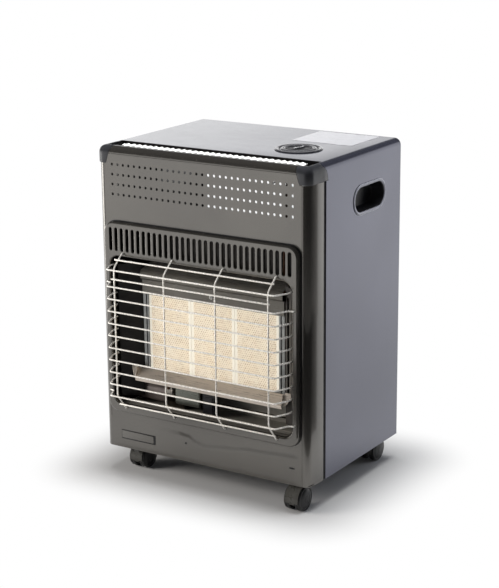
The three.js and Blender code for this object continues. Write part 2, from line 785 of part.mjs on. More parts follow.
// A bent sheet given by its centre line in the (y, z) plane.
function foldedX(line, thick, x0, x1) {
  const left = [];
  const right = [];
  line.forEach(([u, v], i) => {
    const [pu, pv] = line[Math.max(i - 1, 0)];
    const [nu, nv] = line[Math.min(i + 1, line.length - 1)];
    const a = i > 0 ? unit(u - pu, v - pv) : unit(nu - u, nv - v);
    const b = i + 1 < line.length ? unit(nu - u, nv - v) : a;
    const m = unit(a[0] + b[0], a[1] + b[1]);
    const grow = thick / 2 / Math.max(m[0] * a[0] + m[1] * a[1], 0.3);
    left.push([u - m[1] * grow, v + m[0] * grow]);
    right.push([u + m[1] * grow, v - m[0] * grow]);
  });
  return alongX(fixTurn([...left, ...right.reverse()]), x0, x1);
}

function unit(u, v) {
  const d = Math.hypot(u, v);
  return [u / d, v / d];
}

function lowerReflector() {
  const half = BURNER_HALF + 6;
  const line = [
    [PLAQUE_Y - 3, BASE + PLAQUE_LOW - 2],
    [PLAQUE_Y - 23, BASE + PLAQUE_LOW - 15],
    [PLAQUE_Y - 22, BASE + PLAQUE_LOW - 21],
  ];
  const flap = [
    [PLAQUE_Y - 23, BASE + PLAQUE_LOW - 15],
    [PLAQUE_Y - 3, BASE + PLAQUE_LOW - 2],
    [PLAQUE_Y - 18, BASE + PLAQUE_LOW + 2],
  ];
  const sheet = foldedX(line, 1, -half, half);
  const ends = [-half, half - 1].map((x) => alongX(fixTurn(flap), x, x + 1));
  const beside = alongZ(fixTurn(behindSidePanel(GAP)), BASE, TOP);
  return cut(join(sheet, ...ends), beside, mirrored(beside));
}

const SIDE_FROM = [BURNER_HALF + 1.5, PLAQUE_Y - 1];
const SIDE_TO = [WINDOW_HALF - 3.4, FACE_Y + WINDOW_FLANGE + 2.2];

// The plan of all that lies behind the front of the right side panel, grown forward by a margin.
function behindSidePanel(margin) {
  const [dx, dy] = unit(SIDE_TO[0] - SIDE_FROM[0], SIDE_TO[1] - SIDE_FROM[1]);
  const shift = ([x, y], s) => [x + dx * s + dy * margin, y + dy * s - dx * margin];
  return [shift(SIDE_FROM, -5), shift(SIDE_TO, 8), [HALF, 60], [SIDE_FROM[0], 60]];
}

// A slatted panel between the burner's side and the window's edge.
function sideReflector() {
  const from = SIDE_FROM;
  const to = SIDE_TO;
  const [dx, dy] = unit(to[0] - from[0], to[1] - from[1]);
  const thick = 1;
  const run = Math.hypot(to[0] - from[0], to[1] - from[1]);
  const plan = (s0, s1, d0, d1) => [
    [from[0] + dx * s0 - dy * d0, from[1] + dy * s0 + dx * d0],
    [from[0] + dx * s1 - dy * d0, from[1] + dy * s1 + dx * d0],
    [from[0] + dx * s1 - dy * d1, from[1] + dy * s1 + dx * d1],
    [from[0] + dx * s0 - dy * d1, from[1] + dy * s0 + dx * d1],
  ];
  const low = BASE + WINDOW_LOW + 8;
  const high = BASE + WINDOW_HIGH - 20;
  const plate = alongZ(fixTurn(plan(0, run, 0, thick)), low, high);
  const slots = [
    [run * 0.16, run * 0.36],
    [run * 0.6, run * 0.82],
  ].map(([s0, s1]) => alongZ(fixTurn(plan(s0, s1, -3, thick + 3)), BASE + PLAQUE_LOW - 4, BASE + 314));
  return cut(plate, ...slots);
}

const TRAY_FRONT = [FACE_Y + WINDOW_FLANGE + 4, BASE + WINDOW_LOW - 5];
const TRAY_REAR = [74, BASE + WINDOW_LOW - 9];

function cavityTray() {
  const line = [
    [TRAY_FRONT[0] - 2, BASE + WINDOW_LOW + 6],
    TRAY_FRONT,
    TRAY_REAR,
    [TRAY_REAR[0] + 2, BASE + WINDOW_LOW - 2],
  ];
  return foldedX(line, 1, -WINDOW_HALF + 4, WINDOW_HALF - 4);
}

// The height at which a piece whose front is at y stands on the cavity tray.
function onTray(y) {
  const slope = (TRAY_REAR[1] - TRAY_FRONT[1]) / (TRAY_REAR[0] - TRAY_FRONT[0]);
  return TRAY_FRONT[1] + (y - TRAY_FRONT[0]) * slope + 0.5 + GAP;
}

// ---------------------------------------------------------------- gas train

const MIX_Y = 53;
const MIX_Z = BASE + 100;
const PILOT_X = -83;
const PILOT_Y = 30;
const THERMO_X = -93;
const THERMO_Z = BASE + 114;
const SPARK_X = -70;
const SPARK_Z = BASE + 126;
const VALVE_LOW = TOP - 54;
const VALVE_HIGH = TOP - 24;

function mixingTube() {
  const duct = alongX(roundedRect(MIX_Y - 16, MIX_Y + 16, MIX_Z - 18, MIX_Z + 16, 9, 3), -164, -95);
  const riser = alongZ(roundedRect(-150 + 19, -150 + 45, 47, 67, 5, 3), MIX_Z + 10, BASE + PLAQUE_LOW - BURNER_MARGIN + 3);
  const bore = alongX(polygon(MIX_Y, MIX_Z, 11, 12), -150, -90);
  const up = alongZ(roundedRect(-150 + 21, -150 + 43, 49, 65, 4, 3), MIX_Z, BASE + PLAQUE_LOW);
  return cut(join(duct, riser), bore, up);
}

function injector() {
  const nut = alongX(polygon(MIX_Y, MIX_Z, 8, 6), -92, -84);
  const nozzle = placed(turned([[0, 0], [4, 0], [4, 10], [2, 14], [0, 14]], 10).rotate([0, -90, 0]), -91.5, MIX_Y, MIX_Z);
  return join(nut, nozzle);
}

// The pilot's holder carries the pilot, the thermocouple and the spark electrode side by side.
function pilotBurner() {
  const hole = polygon(THERMO_X, THERMO_Z, 2.2, 8);
  const plate = alongY(rectangle(THERMO_X - 6, SPARK_X + 6, BASE + 83, BASE + 131), PILOT_Y + 4, PILOT_Y + 5.4, [
    hole,
    polygon(SPARK_X, SPARK_Z, 3.6, 10),
  ]);
  const foot = box(THERMO_X - 6, SPARK_X + 6, PILOT_Y + 4, PILOT_Y + 5.4, onTray(PILOT_Y + 4), BASE + 84);
  const head = placed(turned([[0, 0], [4.4, 0], [4.4, 16], [3, 18], [3, 23], [0, 23]], 10), PILOT_X, PILOT_Y, BASE + 104);
  const bridge = box(PILOT_X - 2, PILOT_X + 2, PILOT_Y + 2, PILOT_Y + 4.4, BASE + 106, BASE + 118);
  return join(plate, foot, head, bridge);
}

function thermocouple() {
  const tip = placed(turned([[0, 0], [2.2, 0], [2.2, 12], [1.5, 14], [1.5, 20], [0, 20]], 8), THERMO_X, PILOT_Y, THERMO_Z - 1);
  const start = [KNOB_X + 17.4, KNOB_Y, VALVE_LOW + 10];
  return join(tip, thinLine(start, KNOB_X + 23, THERMO_Z, [THERMO_X, PILOT_Y, THERMO_Z], 1.1));
}

function sparkElectrode() {
  const stick = turned([[0, 0], [3.1, 0], [3.1, 7], [2.4, 8], [2.4, 13], [0, 13]], 10).rotate([90, 0, 0]);
  const wire = rod(
    eased(
      [
        [SPARK_X, PILOT_Y - 2, SPARK_Z],
        [SPARK_X, PILOT_Y - 7, SPARK_Z],
        [SPARK_X - 7, PILOT_Y - 6, SPARK_Z + 2],
      ],
      3,
    ),
    0.7,
    6,
  );
  return join(placed(stick, SPARK_X, PILOT_Y + 9, SPARK_Z), wire);
}

function piezoIgniter() {
  const profile = [
    [0, -6],
    [2.2, -6],
    [2.2, 0],
    [7.2, 0],
    [7.2, 34],
    [5, 36],
    [0, 36],
  ];
  return placed(turned(profile, 14), KNOB_X - 36, KNOB_Y, TOP - 43);
}

function tiltSwitch() {
  const x0 = -19;
  const body = box(x0, x0 + 23, 27, 41, onTray(27), BASE + 119);
  const rib = box(x0 + 3, x0 + 20, 25.6, 28, BASE + 88, BASE + 113);
  return join(body, rib);
}

function gasValve() {
  const body = box(KNOB_X - 17, KNOB_X + 17, KNOB_Y - 17, KNOB_Y + 17, VALVE_LOW, VALVE_HIGH);
  const neck = placed(turned([[0, 0], [9, 0], [9, 8], [0, 8]], 16), KNOB_X, KNOB_Y, VALVE_HIGH - 2);
  const stub = placed(turned([[0, 0], [6.5, 0], [6.5, 9], [0, 9]], 6), KNOB_X, KNOB_Y, VALVE_LOW - 8);
  const port = placed(turned([[0, 0], [5, 0], [5, 9], [0, 9]], 6).rotate([90, 0, 0]), KNOB_X + 9, KNOB_Y - 16, VALVE_LOW + 16);
  const bore = alongZ(
    polygon(KNOB_X, KNOB_Y, clearOf(SPINDLE_R + RUNNING_FIT, 16), 16),
    VALVE_LOW + 14,
    VALVE_HIGH + 10,
  );
  return cut(join(body, neck, stub, port), bore);
}

function valveBracket() {
  const legs = [KNOB_X - 28, KNOB_X + 26.8].map((x) => box(x, x + SHEET, KNOB_Y - 15, KNOB_Y + 15, VALVE_HIGH + 0.4, TOP - SHEET - GAP));
  const feet = [
    box(KNOB_X - 40, KNOB_X - 28, KNOB_Y - 15, KNOB_Y + 15, TOP - 2 * SHEET - GAP, TOP - SHEET - GAP),
    box(KNOB_X + 28, KNOB_X + 40, KNOB_Y - 15, KNOB_Y + 15, TOP - 2 * SHEET - GAP, TOP - SHEET - GAP),
  ];
  const shelf = box(KNOB_X - 28, KNOB_X + 28, KNOB_Y - 15, KNOB_Y + 15, VALVE_HIGH + 0.4, VALVE_HIGH + 0.4 + SHEET);
  return cut(join(shelf, ...legs, ...feet), alongZ(polygon(KNOB_X, KNOB_Y, 9.8, 16), VALVE_HIGH - 2, VALVE_HIGH + 4));
}

function hoseInlet() {
  const barbs = [[0, 0], [7, 0], [7, 6], [4.5, 6], [4.5, 9], [5.6, 12], [4.3, 15], [5.6, 18], [4.3, 21], [5.2, 25], [3.6, 28], [0, 28]];
  return placed(turned(barbs, 12).rotate([-90, 0, 0]), KNOB_X, KNOB_Y + 17.3, VALVE_LOW + 15);
}

const CORRIDOR_Y = 81.4;
const PIPE_Y = 88.6;

function burnerPipe() {
  const path = [
    [KNOB_X, KNOB_Y, VALVE_LOW - 8.4],
    [KNOB_X, KNOB_Y, VALVE_LOW - 17],
    [KNOB_X, PIPE_Y, VALVE_LOW - 17],
    [KNOB_X, PIPE_Y, MIX_Z],
    [-76, PIPE_Y, MIX_Z],
    [-76, MIX_Y, MIX_Z],
    [-83.6, MIX_Y, MIX_Z],
  ];
  return rod(eased(path, 7), 3, 6);
}

// A thin pipe or lead from the valve, over the shield, down behind the burner and forward to the pilot.
function thinLine(start, x, runZ, end, radius, drop = 0) {
  const level = start[2] - drop;
  const path = [
    start,
    [start[0], start[1], level],
    [x, start[1], level],
    [x, CORRIDOR_Y, level],
    [x, CORRIDOR_Y, runZ],
    [end[0], CORRIDOR_Y, runZ],
    [end[0], end[1], runZ],
    end,
  ];
  const clean = path.filter((p, i) => i === 0 || Math.hypot(...p.map((v, k) => v - path[i - 1][k])) > 0.5);
  return rod(eased(clean, 6), radius, 6);
}

function pilotPipe() {
  const start = [KNOB_X + 9, KNOB_Y - 25.5, VALVE_LOW + 16];
  return thinLine(start, KNOB_X + 9, BASE + 120, [PILOT_X, PILOT_Y + 5.9, BASE + 120], 1.6);
}

function ignitionLead() {
  const start = [KNOB_X - 36, KNOB_Y, TOP - 49.5];
  return thinLine(start, KNOB_X - 36, SPARK_Z, [SPARK_X, PILOT_Y + 9.4, SPARK_Z], 1.3, 8);
}

// ---------------------------------------------------------------- control

function knobBezel() {
  const z = TOP + GAP;
  const floor = TOP - BEZEL_CUP_DEPTH;
  const profile = [
    [24.2, z],
    [BEZEL_R, z],
    [BEZEL_R, z + 0.9],
    [BEZEL_R - 1.6, z + 1.9],
    [BEZEL_R - 6, z + 1.9],
    [BEZEL_R - 7.2, z + 1],
    [BEZEL_R - 12, z + 1],
    [BEZEL_R - 13.2, z + 2.1],
    [KNOB_R + 2.4, z + 2.5],
    [KNOB_R + 1.4, z + 1.6],
    [KNOB_R + 1.4, floor + SHEET],
    [SPINDLE_R + 3, floor + SHEET],
    [SPINDLE_R + 3, floor],
    [24.2, floor],
  ];
  return placed(turned(profile, 28), KNOB_X, KNOB_Y, 0);
}

function controlKnob() {
  const low = TOP - BEZEL_CUP_DEPTH + SHEET + KNOB_TRAVEL + 1.5;
  const high = TOP + 2.4;
  const cap = turned(
    [
      [0, low],
      [KNOB_R, low],
      [KNOB_R, high - 1.2],
      [KNOB_R - 1.4, high],
      [KNOB_R - 4.5, high - 0.6],
      [0, high - 0.6],
    ],
    28,
  );
  const grip = alongZ(roundedRect(-KNOB_R + 5, KNOB_R - 5, -3.4, 3.4, 3.3, 3), high - 2, high + 1.6);
  const bore = alongZ(polygon(0, 0, clearOf(SPINDLE_R + 0.05, 16), 16), low - 1, high - 4);
  return placed(cut(join(cap, grip), bore), KNOB_X, KNOB_Y, 0);
}

function valveSpindle() {
  return alongZ(polygon(KNOB_X, KNOB_Y, SPINDLE_R, 16), VALVE_HIGH - 8, TOP - 2.4);
}

// ---------------------------------------------------------------- back, base, handles

function heatShield() {
  const half = HALF - 2 * SHEET - 3 * GAP;
  const low = BASE + 2 * SHEET + 2 * GAP;
  const sheet = box(-half, half, SHIELD_Y, SHIELD_Y + 1, low, BASE + SHIELD_HIGH);
  const fold = box(-half, half, SHIELD_Y, SHIELD_Y + 11, BASE + SHIELD_HIGH - 1, BASE + SHIELD_HIGH);
  const sides = [-half, half - 1].map((x) => box(x, x + 1, SHIELD_Y, SHIELD_Y + 11, low, BASE + SHIELD_HIGH));
  return join(sheet, fold, ...sides);
}

function baseTray() {
  const half = HALF - SHEET - GAP;
  const r = EDGE_R - SHEET - GAP;
  const front = SHEET + GAP;
  const rear = DEPTH - SHEET - GAP;
  const low = BASE + SHEET + GAP;
  const outline = [
    ...arc(half - r, front + r, r, -90, 0, 4),
    ...rectangleEnd(half, rear),
    ...arc(-half + r, front + r, r, 180, 270, 4),
  ];
  const floor = alongZ(outline, low, low + SHEET);
  const sideRims = [-half, half - SHEET].map((x) => box(x, x + SHEET, 58, rear, low, low + 14));
  const rearRim = box(-half, half, rear - SHEET, rear, low, low + 14);
  const stopHalf = HALF - 60;
  const stop = box(-stopHalf, stopHalf, SHIELD_Y + 13, SHIELD_Y + 13 + SHEET, low, low + 16);
  const standY = (SHIELD_Y + 13 + DEPTH) / 2;
  const standTop = low + SHEET + STAND_RISE;
  const standHole = alongZ(polygon(0, standY, STAND_R - SHEET / 2, 48), low - 5, low + 5);
  const stand = turned(
    [
      [0, standTop - SHEET],
      [STAND_R - 2 * SHEET, standTop - SHEET],
      [STAND_R - SHEET, low],
      [STAND_R, low],
      [STAND_R, low + SHEET],
      [STAND_R - 1.5 * SHEET, standTop],
      [0, standTop],
    ],
    48,
  );
  const sides = 16;
  const bosses = CASTORS.map(({ x, y }) => alongZ(polygon(x, y, BOSS_R, sides), low, STEM_TOP + 6));
  const webs = CASTORS.map(({ x, y }) => {
    const out = x < 0 ? -half : half;
    return box(Math.min(x, out), Math.max(x, out), y - 1, y + 1, low, low + 14);
  });
  const bores = CASTORS.map(({ x, y }) =>
    alongZ(polygon(x, y, clearOf(STEM_R + RUNNING_FIT, sides), sides), low - 5, STEM_TOP + 1),
  );
  const fold = SEAM_Y - SEAM_GAP / 2;
  const notch = box(HALF - RETURN_FOLD - GAP, HALF, fold - SHEET - GAP, fold + GAP, low - 5, low + 5);
  const plate = join(cut(floor, standHole), placed(stand, 0, standY, 0));
  return cut(join(plate, ...sideRims, rearRim, stop, ...bosses, ...webs), ...bores, notch, mirrored(notch));
}

const rectangleEnd = (half, rear) => [
  [half, rear],
  [-half, rear],
];

function rearCover() {
  const rear = DEPTH - 2 * SHEET - 3 * GAP - 0.6;
  const low = BASE + 2 * SHEET + 2 * GAP + 0.3;
  const high = BASE + COVER_HIGH;
  const slots = [];
  for (let row = 0; row < 2; row++) {
    for (let i = 0; i < 12; i++) {
      const x = (i - 5.5) * 24;
      const z = BASE + 60 + row * 170;
      slots.push(roundedRect(x - 3.5, x + 3.5, z, z + 46, 3, 1));
    }
  }
  const grip = roundedRect(-45, 45, high - 42, high - 20, 10.9, 4);
  const plate = alongY(rectangle(-COVER_HALF, COVER_HALF, low, high), rear - 1, rear, [grip, ...slots]);
  const hem = box(-COVER_HALF, COVER_HALF, rear - 10, rear, high - 1, high);
  return join(plate, hem);
}

function handleCup() {
  const outline = (inset) =>
    roundedRect(
      HANDLE_Y - HANDLE_LENGTH / 2 + inset,
      HANDLE_Y + HANDLE_LENGTH / 2 - inset,
      BASE + HANDLE_Z - HANDLE_HEIGHT / 2 + inset,
      BASE + HANDLE_Z + HANDLE_HEIGHT / 2 - inset,
      HANDLE_HEIGHT / 2 - inset - 0.01,
      4,
    );
  const lip = HANDLE_RIM - 2;
  const rim = alongX(outline(0), HALF + GAP, HALF + HANDLE_PROUD - 0.6);
  const edge = alongX(outline(1), HALF + GAP, HALF + HANDLE_PROUD);
  const cup = alongX(outline(lip), HALF - HANDLE_DEPTH, HALF + 0.6);
  const hollow = alongX(outline(HANDLE_RIM), HALF - HANDLE_DEPTH + 1.5, HALF + 5);
  return cut(join(rim, edge, cup), hollow);
}

// ---------------------------------------------------------------- castors

function castorHousing() {
  const ring = (r) => polygon(CASTOR_TRAIL, WHEEL_R, r, 24);
  const outer = WHEEL_R + 0.6 + CASTOR_HOOD_THICK;
  const hood = cut(
    alongX(ring(outer), -CASTOR_HOOD_HALF, CASTOR_HOOD_HALF),
    alongX(ring(WHEEL_R + 0.6), -CASTOR_HOOD_HALF - 1, CASTOR_HOOD_HALF + 1),
    box(-30, 30, -60, 60, -5, CASTOR_HOOD_LOW),
  );
  const web = cut(
    alongX(ring(WHEEL_R + 0.9), -CASTOR_WEB, CASTOR_WEB),
    box(-30, 30, -60, 60, -5, CASTOR_HOOD_LOW - 3),
  );
  const post = box(-CASTOR_WEB, CASTOR_WEB, -5.5, 5.5, 14, FLOOR_GAP - 3);
  const neck = alongZ(polygon(0, 0, 7, 16), FLOOR_GAP - 4, FLOOR_GAP - 0.6);
  const stem = alongZ(polygon(0, 0, STEM_R, 16), 30, STEM_TOP);
  const bore = alongX(polygon(CASTOR_TRAIL, WHEEL_R, clearOf(AXLE_R + 0.03, 16), 16), -30, 30);
  return cut(join(hood, web, post, neck, stem), bore);
}

function castorWheel() {
  const bore = clearOf(AXLE_R + RUNNING_FIT, 16);
  const profile = [
    [0, WHEEL_OUTER - 1.5],
    [bore, WHEEL_OUTER - 1.5],
    [bore, WHEEL_INNER],
    [WHEEL_R, WHEEL_INNER],
    [WHEEL_R, WHEEL_OUTER - 1],
    [WHEEL_R - 1.6, WHEEL_OUTER + WHEEL_DOME * 0.2],
    [WHEEL_R - 8, WHEEL_OUTER + WHEEL_DOME * 0.8],
    [0, WHEEL_OUTER + WHEEL_DOME],
  ];
  return turned(profile, 24).rotate([0, 90, 0]).translate([0, CASTOR_TRAIL, WHEEL_R]);
}

function castor({ name, x, y, turn }) {
  const stand = (body) => body.rotate([0, 0, turn]).translate([x, y, 0]);
  const axle = alongX(polygon(CASTOR_TRAIL, WHEEL_R, AXLE_R, 16), -WHEEL_OUTER + 2, WHEEL_OUTER - 2);
  const wheel = castorWheel();
  add("castor_housing_" + name, stand(castorHousing()), BLACK_PLASTIC);
  add("castor_axle_" + name, stand(axle), ZINC);
  add("castor_wheel_a_" + name, stand(wheel), RUBBER);
  add("castor_wheel_b_" + name, stand(mirrored(wheel)), RUBBER);
}

// ---------------------------------------------------------------- assembly

add("cabinet_wrap", cabinetWrap(), CHARCOAL);
add("front_panel", frontPanel(), CHARCOAL);
add("corner_cap_left", cornerCap(), CAP_PLASTIC);
add("corner_cap_right", mirrored(cornerCap()), CAP_PLASTIC);
add("vent_comb", ventComb(), BRIGHT_STEEL);
add("grille_surround", grilleSurround(), CHARCOAL);
add("wire_guard", wireGuard(), CHROME_WIRE);
add("base_tray", baseTray(), DARK_STEEL);
add("rear_cover", rearCover(), CHARCOAL);
add("handle_cup_right", handleCup(), BLACK_PLASTIC);
add("handle_cup_left", mirrored(handleCup()), BLACK_PLASTIC);
add("burner_housing", burnerHousing(), ZINC);
for (let i = 0; i < PLAQUES; i++) add("ceramic_plaque_" + (i + 1), plaque(i), CERAMIC);
add("burner_hood", burnerHood(), BRIGHT_STEEL);
add("lower_reflector", lowerReflector(), BRIGHT_STEEL);
add("side_reflector_right", sideReflector(), DARK_STEEL);
add("side_reflector_left", mirrored(sideReflector()), DARK_STEEL);
add("cavity_tray", cavityTray(), BRIGHT_STEEL);
add("heat_shield", heatShield(), ZINC);
add("mixing_tube", mixingTube(), ZINC);
add("injector", injector(), BRASS);
add("pilot_burner", pilotBurner(), BRIGHT_STEEL);
add("gas_valve", gasValve(), BRASS);
add("valve_bracket", valveBracket(), ZINC);
add("hose_inlet", hoseInlet(), BRASS);
add("burner_pipe", burnerPipe(), COPPER);
add("pilot_pipe", pilotPipe(), COPPER);
add("thermocouple", thermocouple(), COPPER);
add("spark_electrode", sparkElectrode(), CERAMIC);
add("ignition_lead", ignitionLead(), RUBBER);
add("piezo_igniter", piezoIgniter(), BLACK_PLASTIC);
add("tilt_switch", tiltSwitch(), BLACK_PLASTIC);
add("knob_bezel", knobBezel(), BLACK_PLASTIC);
add("control_knob", controlKnob(), BLACK_PLASTIC);
add("valve_spindle", valveSpindle(), BRASS);
CASTORS.forEach(castor);

heater.position.y = -(DEPTH - GUARD_REACH - WIRE_R) / 2;

export default heater;
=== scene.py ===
"""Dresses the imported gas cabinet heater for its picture. Drawing units are millimetres: x = 0 in the middle,
y = 0 on the front sheet, z = 0 on the floor; at() turns them into the frame's metres."""

import json
import math

import bmesh
import bpy
from mathutils import Matrix, Vector

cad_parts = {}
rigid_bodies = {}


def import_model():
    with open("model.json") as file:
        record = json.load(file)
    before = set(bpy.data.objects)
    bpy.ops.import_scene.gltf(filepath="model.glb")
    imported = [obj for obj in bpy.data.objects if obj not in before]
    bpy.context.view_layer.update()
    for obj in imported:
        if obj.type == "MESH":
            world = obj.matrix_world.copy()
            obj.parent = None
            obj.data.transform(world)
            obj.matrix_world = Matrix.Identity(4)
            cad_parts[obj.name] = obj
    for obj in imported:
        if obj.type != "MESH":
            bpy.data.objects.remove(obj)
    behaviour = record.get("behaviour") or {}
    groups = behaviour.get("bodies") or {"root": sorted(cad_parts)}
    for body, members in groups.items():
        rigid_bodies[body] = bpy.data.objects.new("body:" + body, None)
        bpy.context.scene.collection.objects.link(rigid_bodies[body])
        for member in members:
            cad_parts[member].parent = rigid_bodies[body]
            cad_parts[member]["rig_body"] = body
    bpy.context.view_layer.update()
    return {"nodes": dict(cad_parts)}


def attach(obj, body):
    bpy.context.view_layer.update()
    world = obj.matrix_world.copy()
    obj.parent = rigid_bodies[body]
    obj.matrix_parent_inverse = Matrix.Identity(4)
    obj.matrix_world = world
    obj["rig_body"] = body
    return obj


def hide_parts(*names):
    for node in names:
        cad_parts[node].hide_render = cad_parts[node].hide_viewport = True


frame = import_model()
nodes = frame["nodes"]

# ------ drawing sizes, as in the solids

Y_MIDDLE = 134.75
HALF = 210.0
DEPTH = 310.0
BASE = 45.0
TOP = 584.0
EDGE_R = 12.0
SHEET = 1.2
FLAT = HALF - EDGE_R
ROLL_LOW = TOP - EDGE_R
SEAM_FRONT = 49.8

# corner caps, and the seams where the front panel meets them
CAP_HEIGHT = 29.0
CAP_LOW = TOP - CAP_HEIGHT
CAP_SEAM_LOW = 190.4
CAP_SEAM_HIGH = 181.0
CAP_REAR = 58.0
CAP_REAR_TOP = 45.0

# the front's folded sides: where they end, how far they bow in, and the slope that their bow starts at
FOLD_END = SEAM_FRONT - 4.6
FOLD_BOW = 2.4
FOLD_LEAN = 8.0

# perforations, vent and slots
COLUMN_PITCH = 11.5
COLUMNS = [-178.25 + COLUMN_PITCH * i for i in range(32)]
ROWS = [BASE + 508.7 - 17.13 * i for i in range(4)]
PERFORATION_R = 2.4
VENT_FRONT = EDGE_R + 3.0
SLOT_LOW = BASE + 361.0
SLOT_HIGH = BASE + 401.5
SLOT_HALF = 3.3

# raised surround and guard
FACE_Y = -10.0
UPRIGHTS = [(i - 1.5) * 102.3 for i in range(4)]
HOOK_X = 186.6
BAR_HIGH = 305.0
BAR_PITCH = 21.8
WIRE_R = 1.4

# the badge's pocket, from the cabinet's left edge and bottom
BADGE_LEFT, BADGE_RIGHT, BADGE_LOW, BADGE_HIGH = 36.0, 109.0, 17.0, 34.0

KNOB = (109.5, 135.0)
KNOB_R = 21.0
WHEEL_R = 21.0
WHEEL_TRAIL = 14.5
CASTORS = {
    "front_left": (-158.0, 25.0, 1),
    "front_right": (181.0, 25.0, -1),
    "rear_left": (-176.0, 265.0, 1),
    "rear_right": (175.0, 265.0, 1),
}


def at(x, y, z):
    return Vector((x, y - Y_MIDDLE, z)) / 1000.0


# ------ node helpers


def srgb(r, g, b):
    def one(c):
        c /= 255.0
        return c / 12.92 if c <= 0.04045 else ((c + 0.055) / 1.055) ** 2.4

    return (one(r), one(g), one(b), 1.0)


class Graph:
    """Short ways to add nodes to a tree. A value may be a number, a colour or another node's output."""

    def __init__(self, tree):
        self.tree = tree

    def new(self, kind, inputs=(), **settings):
        """A node with its settings, and its inputs by name or number."""
        node = self.tree.nodes.new(kind)
        for key, value in settings.items():
            setattr(node, key, value)
        for key, value in dict(inputs).items():
            self.feed(node.inputs[key], value)
        return node

    def feed(self, socket, value):
        if isinstance(value, bpy.types.NodeSocket):
            self.tree.links.new(value, socket)
        else:
            socket.default_value = value

    def maths(self, operation, a, b=0.0):
        return self.new("ShaderNodeMath", {0: a, 1: b}, operation=operation).outputs[0]

    def ramp(self, value, low, high, to_low=0.0, to_high=1.0, kind="LINEAR"):
        inputs = {"Value": value, "From Min": low, "From Max": high, "To Min": to_low, "To Max": to_high}
        return self.new("ShaderNodeMapRange", inputs, interpolation_type=kind).outputs["Result"]

    def choose(self, factor, a, b):
        return self.new("ShaderNodeMix", {0: factor, 2: a, 3: b}).outputs[0]

    def rays(self):
        """Factors: for camera, mirror and glass rays together, for mirror rays, for camera rays."""
        path = self.new("ShaderNodeLightPath")
        kinds = ("Camera", "Glossy", "Transmission")
        camera, mirror, glass = (path.outputs["Is %s Ray" % kind] for kind in kinds)
        return self.maths("MAXIMUM", self.maths("MAXIMUM", camera, mirror), glass), mirror, camera

    def blend(self, factor, a, b, kind):
        """Ends the tree in a mix of two shaders."""
        mix = self.new("ShaderNodeMixShader", {0: factor, 1: a, 2: b})
        self.feed(self.tree.nodes[kind].inputs["Surface"], mix.outputs[0])


class Finish(Graph):
    """A Principled material with helpers for procedural detail in metres of the object's own space."""

    def __init__(self, name, colour, metallic=0.0, roughness=0.5):
        self.mat = bpy.data.materials.new(name)
        self.mat.use_nodes = True
        super().__init__(self.mat.node_tree)
        self.shader = self.tree.nodes["Principled BSDF"]
        self.set("Base Color", colour)
        self.set("Metallic", metallic)
        self.set("Roughness", roughness)
        self.coords = self.new("ShaderNodeTexCoord").outputs["Object"]
        self.height = None

    def set(self, socket, value):
        self.feed(self.shader.inputs[socket], value)

    def scaled(self, x, y, z):
        return self.new("ShaderNodeMapping", {"Scale": (x, y, z), "Vector": self.coords}).outputs["Vector"]

    def noise(self, scale, detail, rough=0.5, vector=None):
        inputs = {"Scale": scale, "Detail": detail, "Roughness": rough, "Vector": vector or self.coords}
        return self.new("ShaderNodeTexNoise", inputs).outputs["Fac"]

    def voronoi(self, scale, output="Distance"):
        return self.new("ShaderNodeTexVoronoi", {"Scale": scale, "Vector": self.coords}).outputs[output]

    def mix(self, factor, a, b):
        return self.new("ShaderNodeMix", {0: factor, 6: a, 7: b}, data_type="RGBA").outputs[2]

    def colour(self, output):
        self.set("Base Color", output)

    def rough(self, output):
        self.set("Roughness", output)

    def bump(self, height, strength, distance):
        inputs = {"Strength": strength, "Distance": distance, "Height": height}
        if self.height is not None:
            inputs["Normal"] = self.height
        self.height = self.new("ShaderNodeBump", inputs).outputs["Normal"]
        self.set("Normal", self.height)

    def axis(self, name):
        return self.new("ShaderNodeSeparateXYZ", {0: self.coords}).outputs[name]


# ------ materials


def enamel(name, main, dark, light, metallic, roughness):
    """Baked gloss enamel with fine flakes, a slight orange peel and handling haze."""
    f = Finish(name, main, metallic, roughness)
    cloud = f.noise(5.5, 3.0, 0.55)
    body = f.mix(f.ramp(cloud, 0.3, 0.72), dark, light)
    flake = f.ramp(f.voronoi(1500.0, "Color"), 0.2, 0.9)
    f.colour(f.mix(f.maths("MULTIPLY", flake, 0.16), body, light))
    haze = f.ramp(f.noise(16.0, 4.0, 0.6), 0.3, 0.75, -0.015, 0.02)
    smear = f.ramp(f.noise(40.0, 2.0, 0.5, f.scaled(1.0, 1.0, 0.25)), 0.4, 0.7, -0.008, 0.01)
    f.rough(f.maths("ADD", f.maths("ADD", haze, smear), roughness))
    f.bump(f.noise(420.0, 2.0, 0.5), 0.02, 0.0006)
    f.set("Coat Weight", 0.8)
    f.set("Coat Roughness", 0.09)
    return f.mat


def plastic(name, main, light, roughness, grain):
    """Moulded plastic with a fine grain and slightly uneven gloss."""
    f = Finish(name, main, 0.0, roughness)
    f.colour(f.mix(f.ramp(f.noise(60.0, 4.0, 0.6), 0.35, 0.75, 0.0, 0.7), main, light))
    f.rough(f.ramp(f.noise(130.0, 3.0, 0.55), 0.3, 0.7, roughness - 0.06, roughness + 0.08))
    f.bump(f.voronoi(1400.0), grain, 0.0004)
    return f.mat


def polished(name, main, dark, roughness, metallic=1.0):
    """Rolled sheet with fine lengthwise rolling marks and a faint heat tint."""
    f = Finish(name, main, metallic, roughness)
    f.colour(f.mix(f.ramp(f.noise(9.0, 3.0, 0.5), 0.35, 0.7, 0.0, 0.8), main, dark))
    lines = f.noise(34.0, 5.0, 0.6, f.scaled(0.7, 26.0, 26.0))
    f.rough(f.ramp(lines, 0.25, 0.75, roughness - 0.05, roughness + 0.09))
    f.bump(lines, 0.05, 0.0006)
    f.bump(f.noise(11.0, 1.0, 0.4), 0.12, 0.003)
    return f.mat


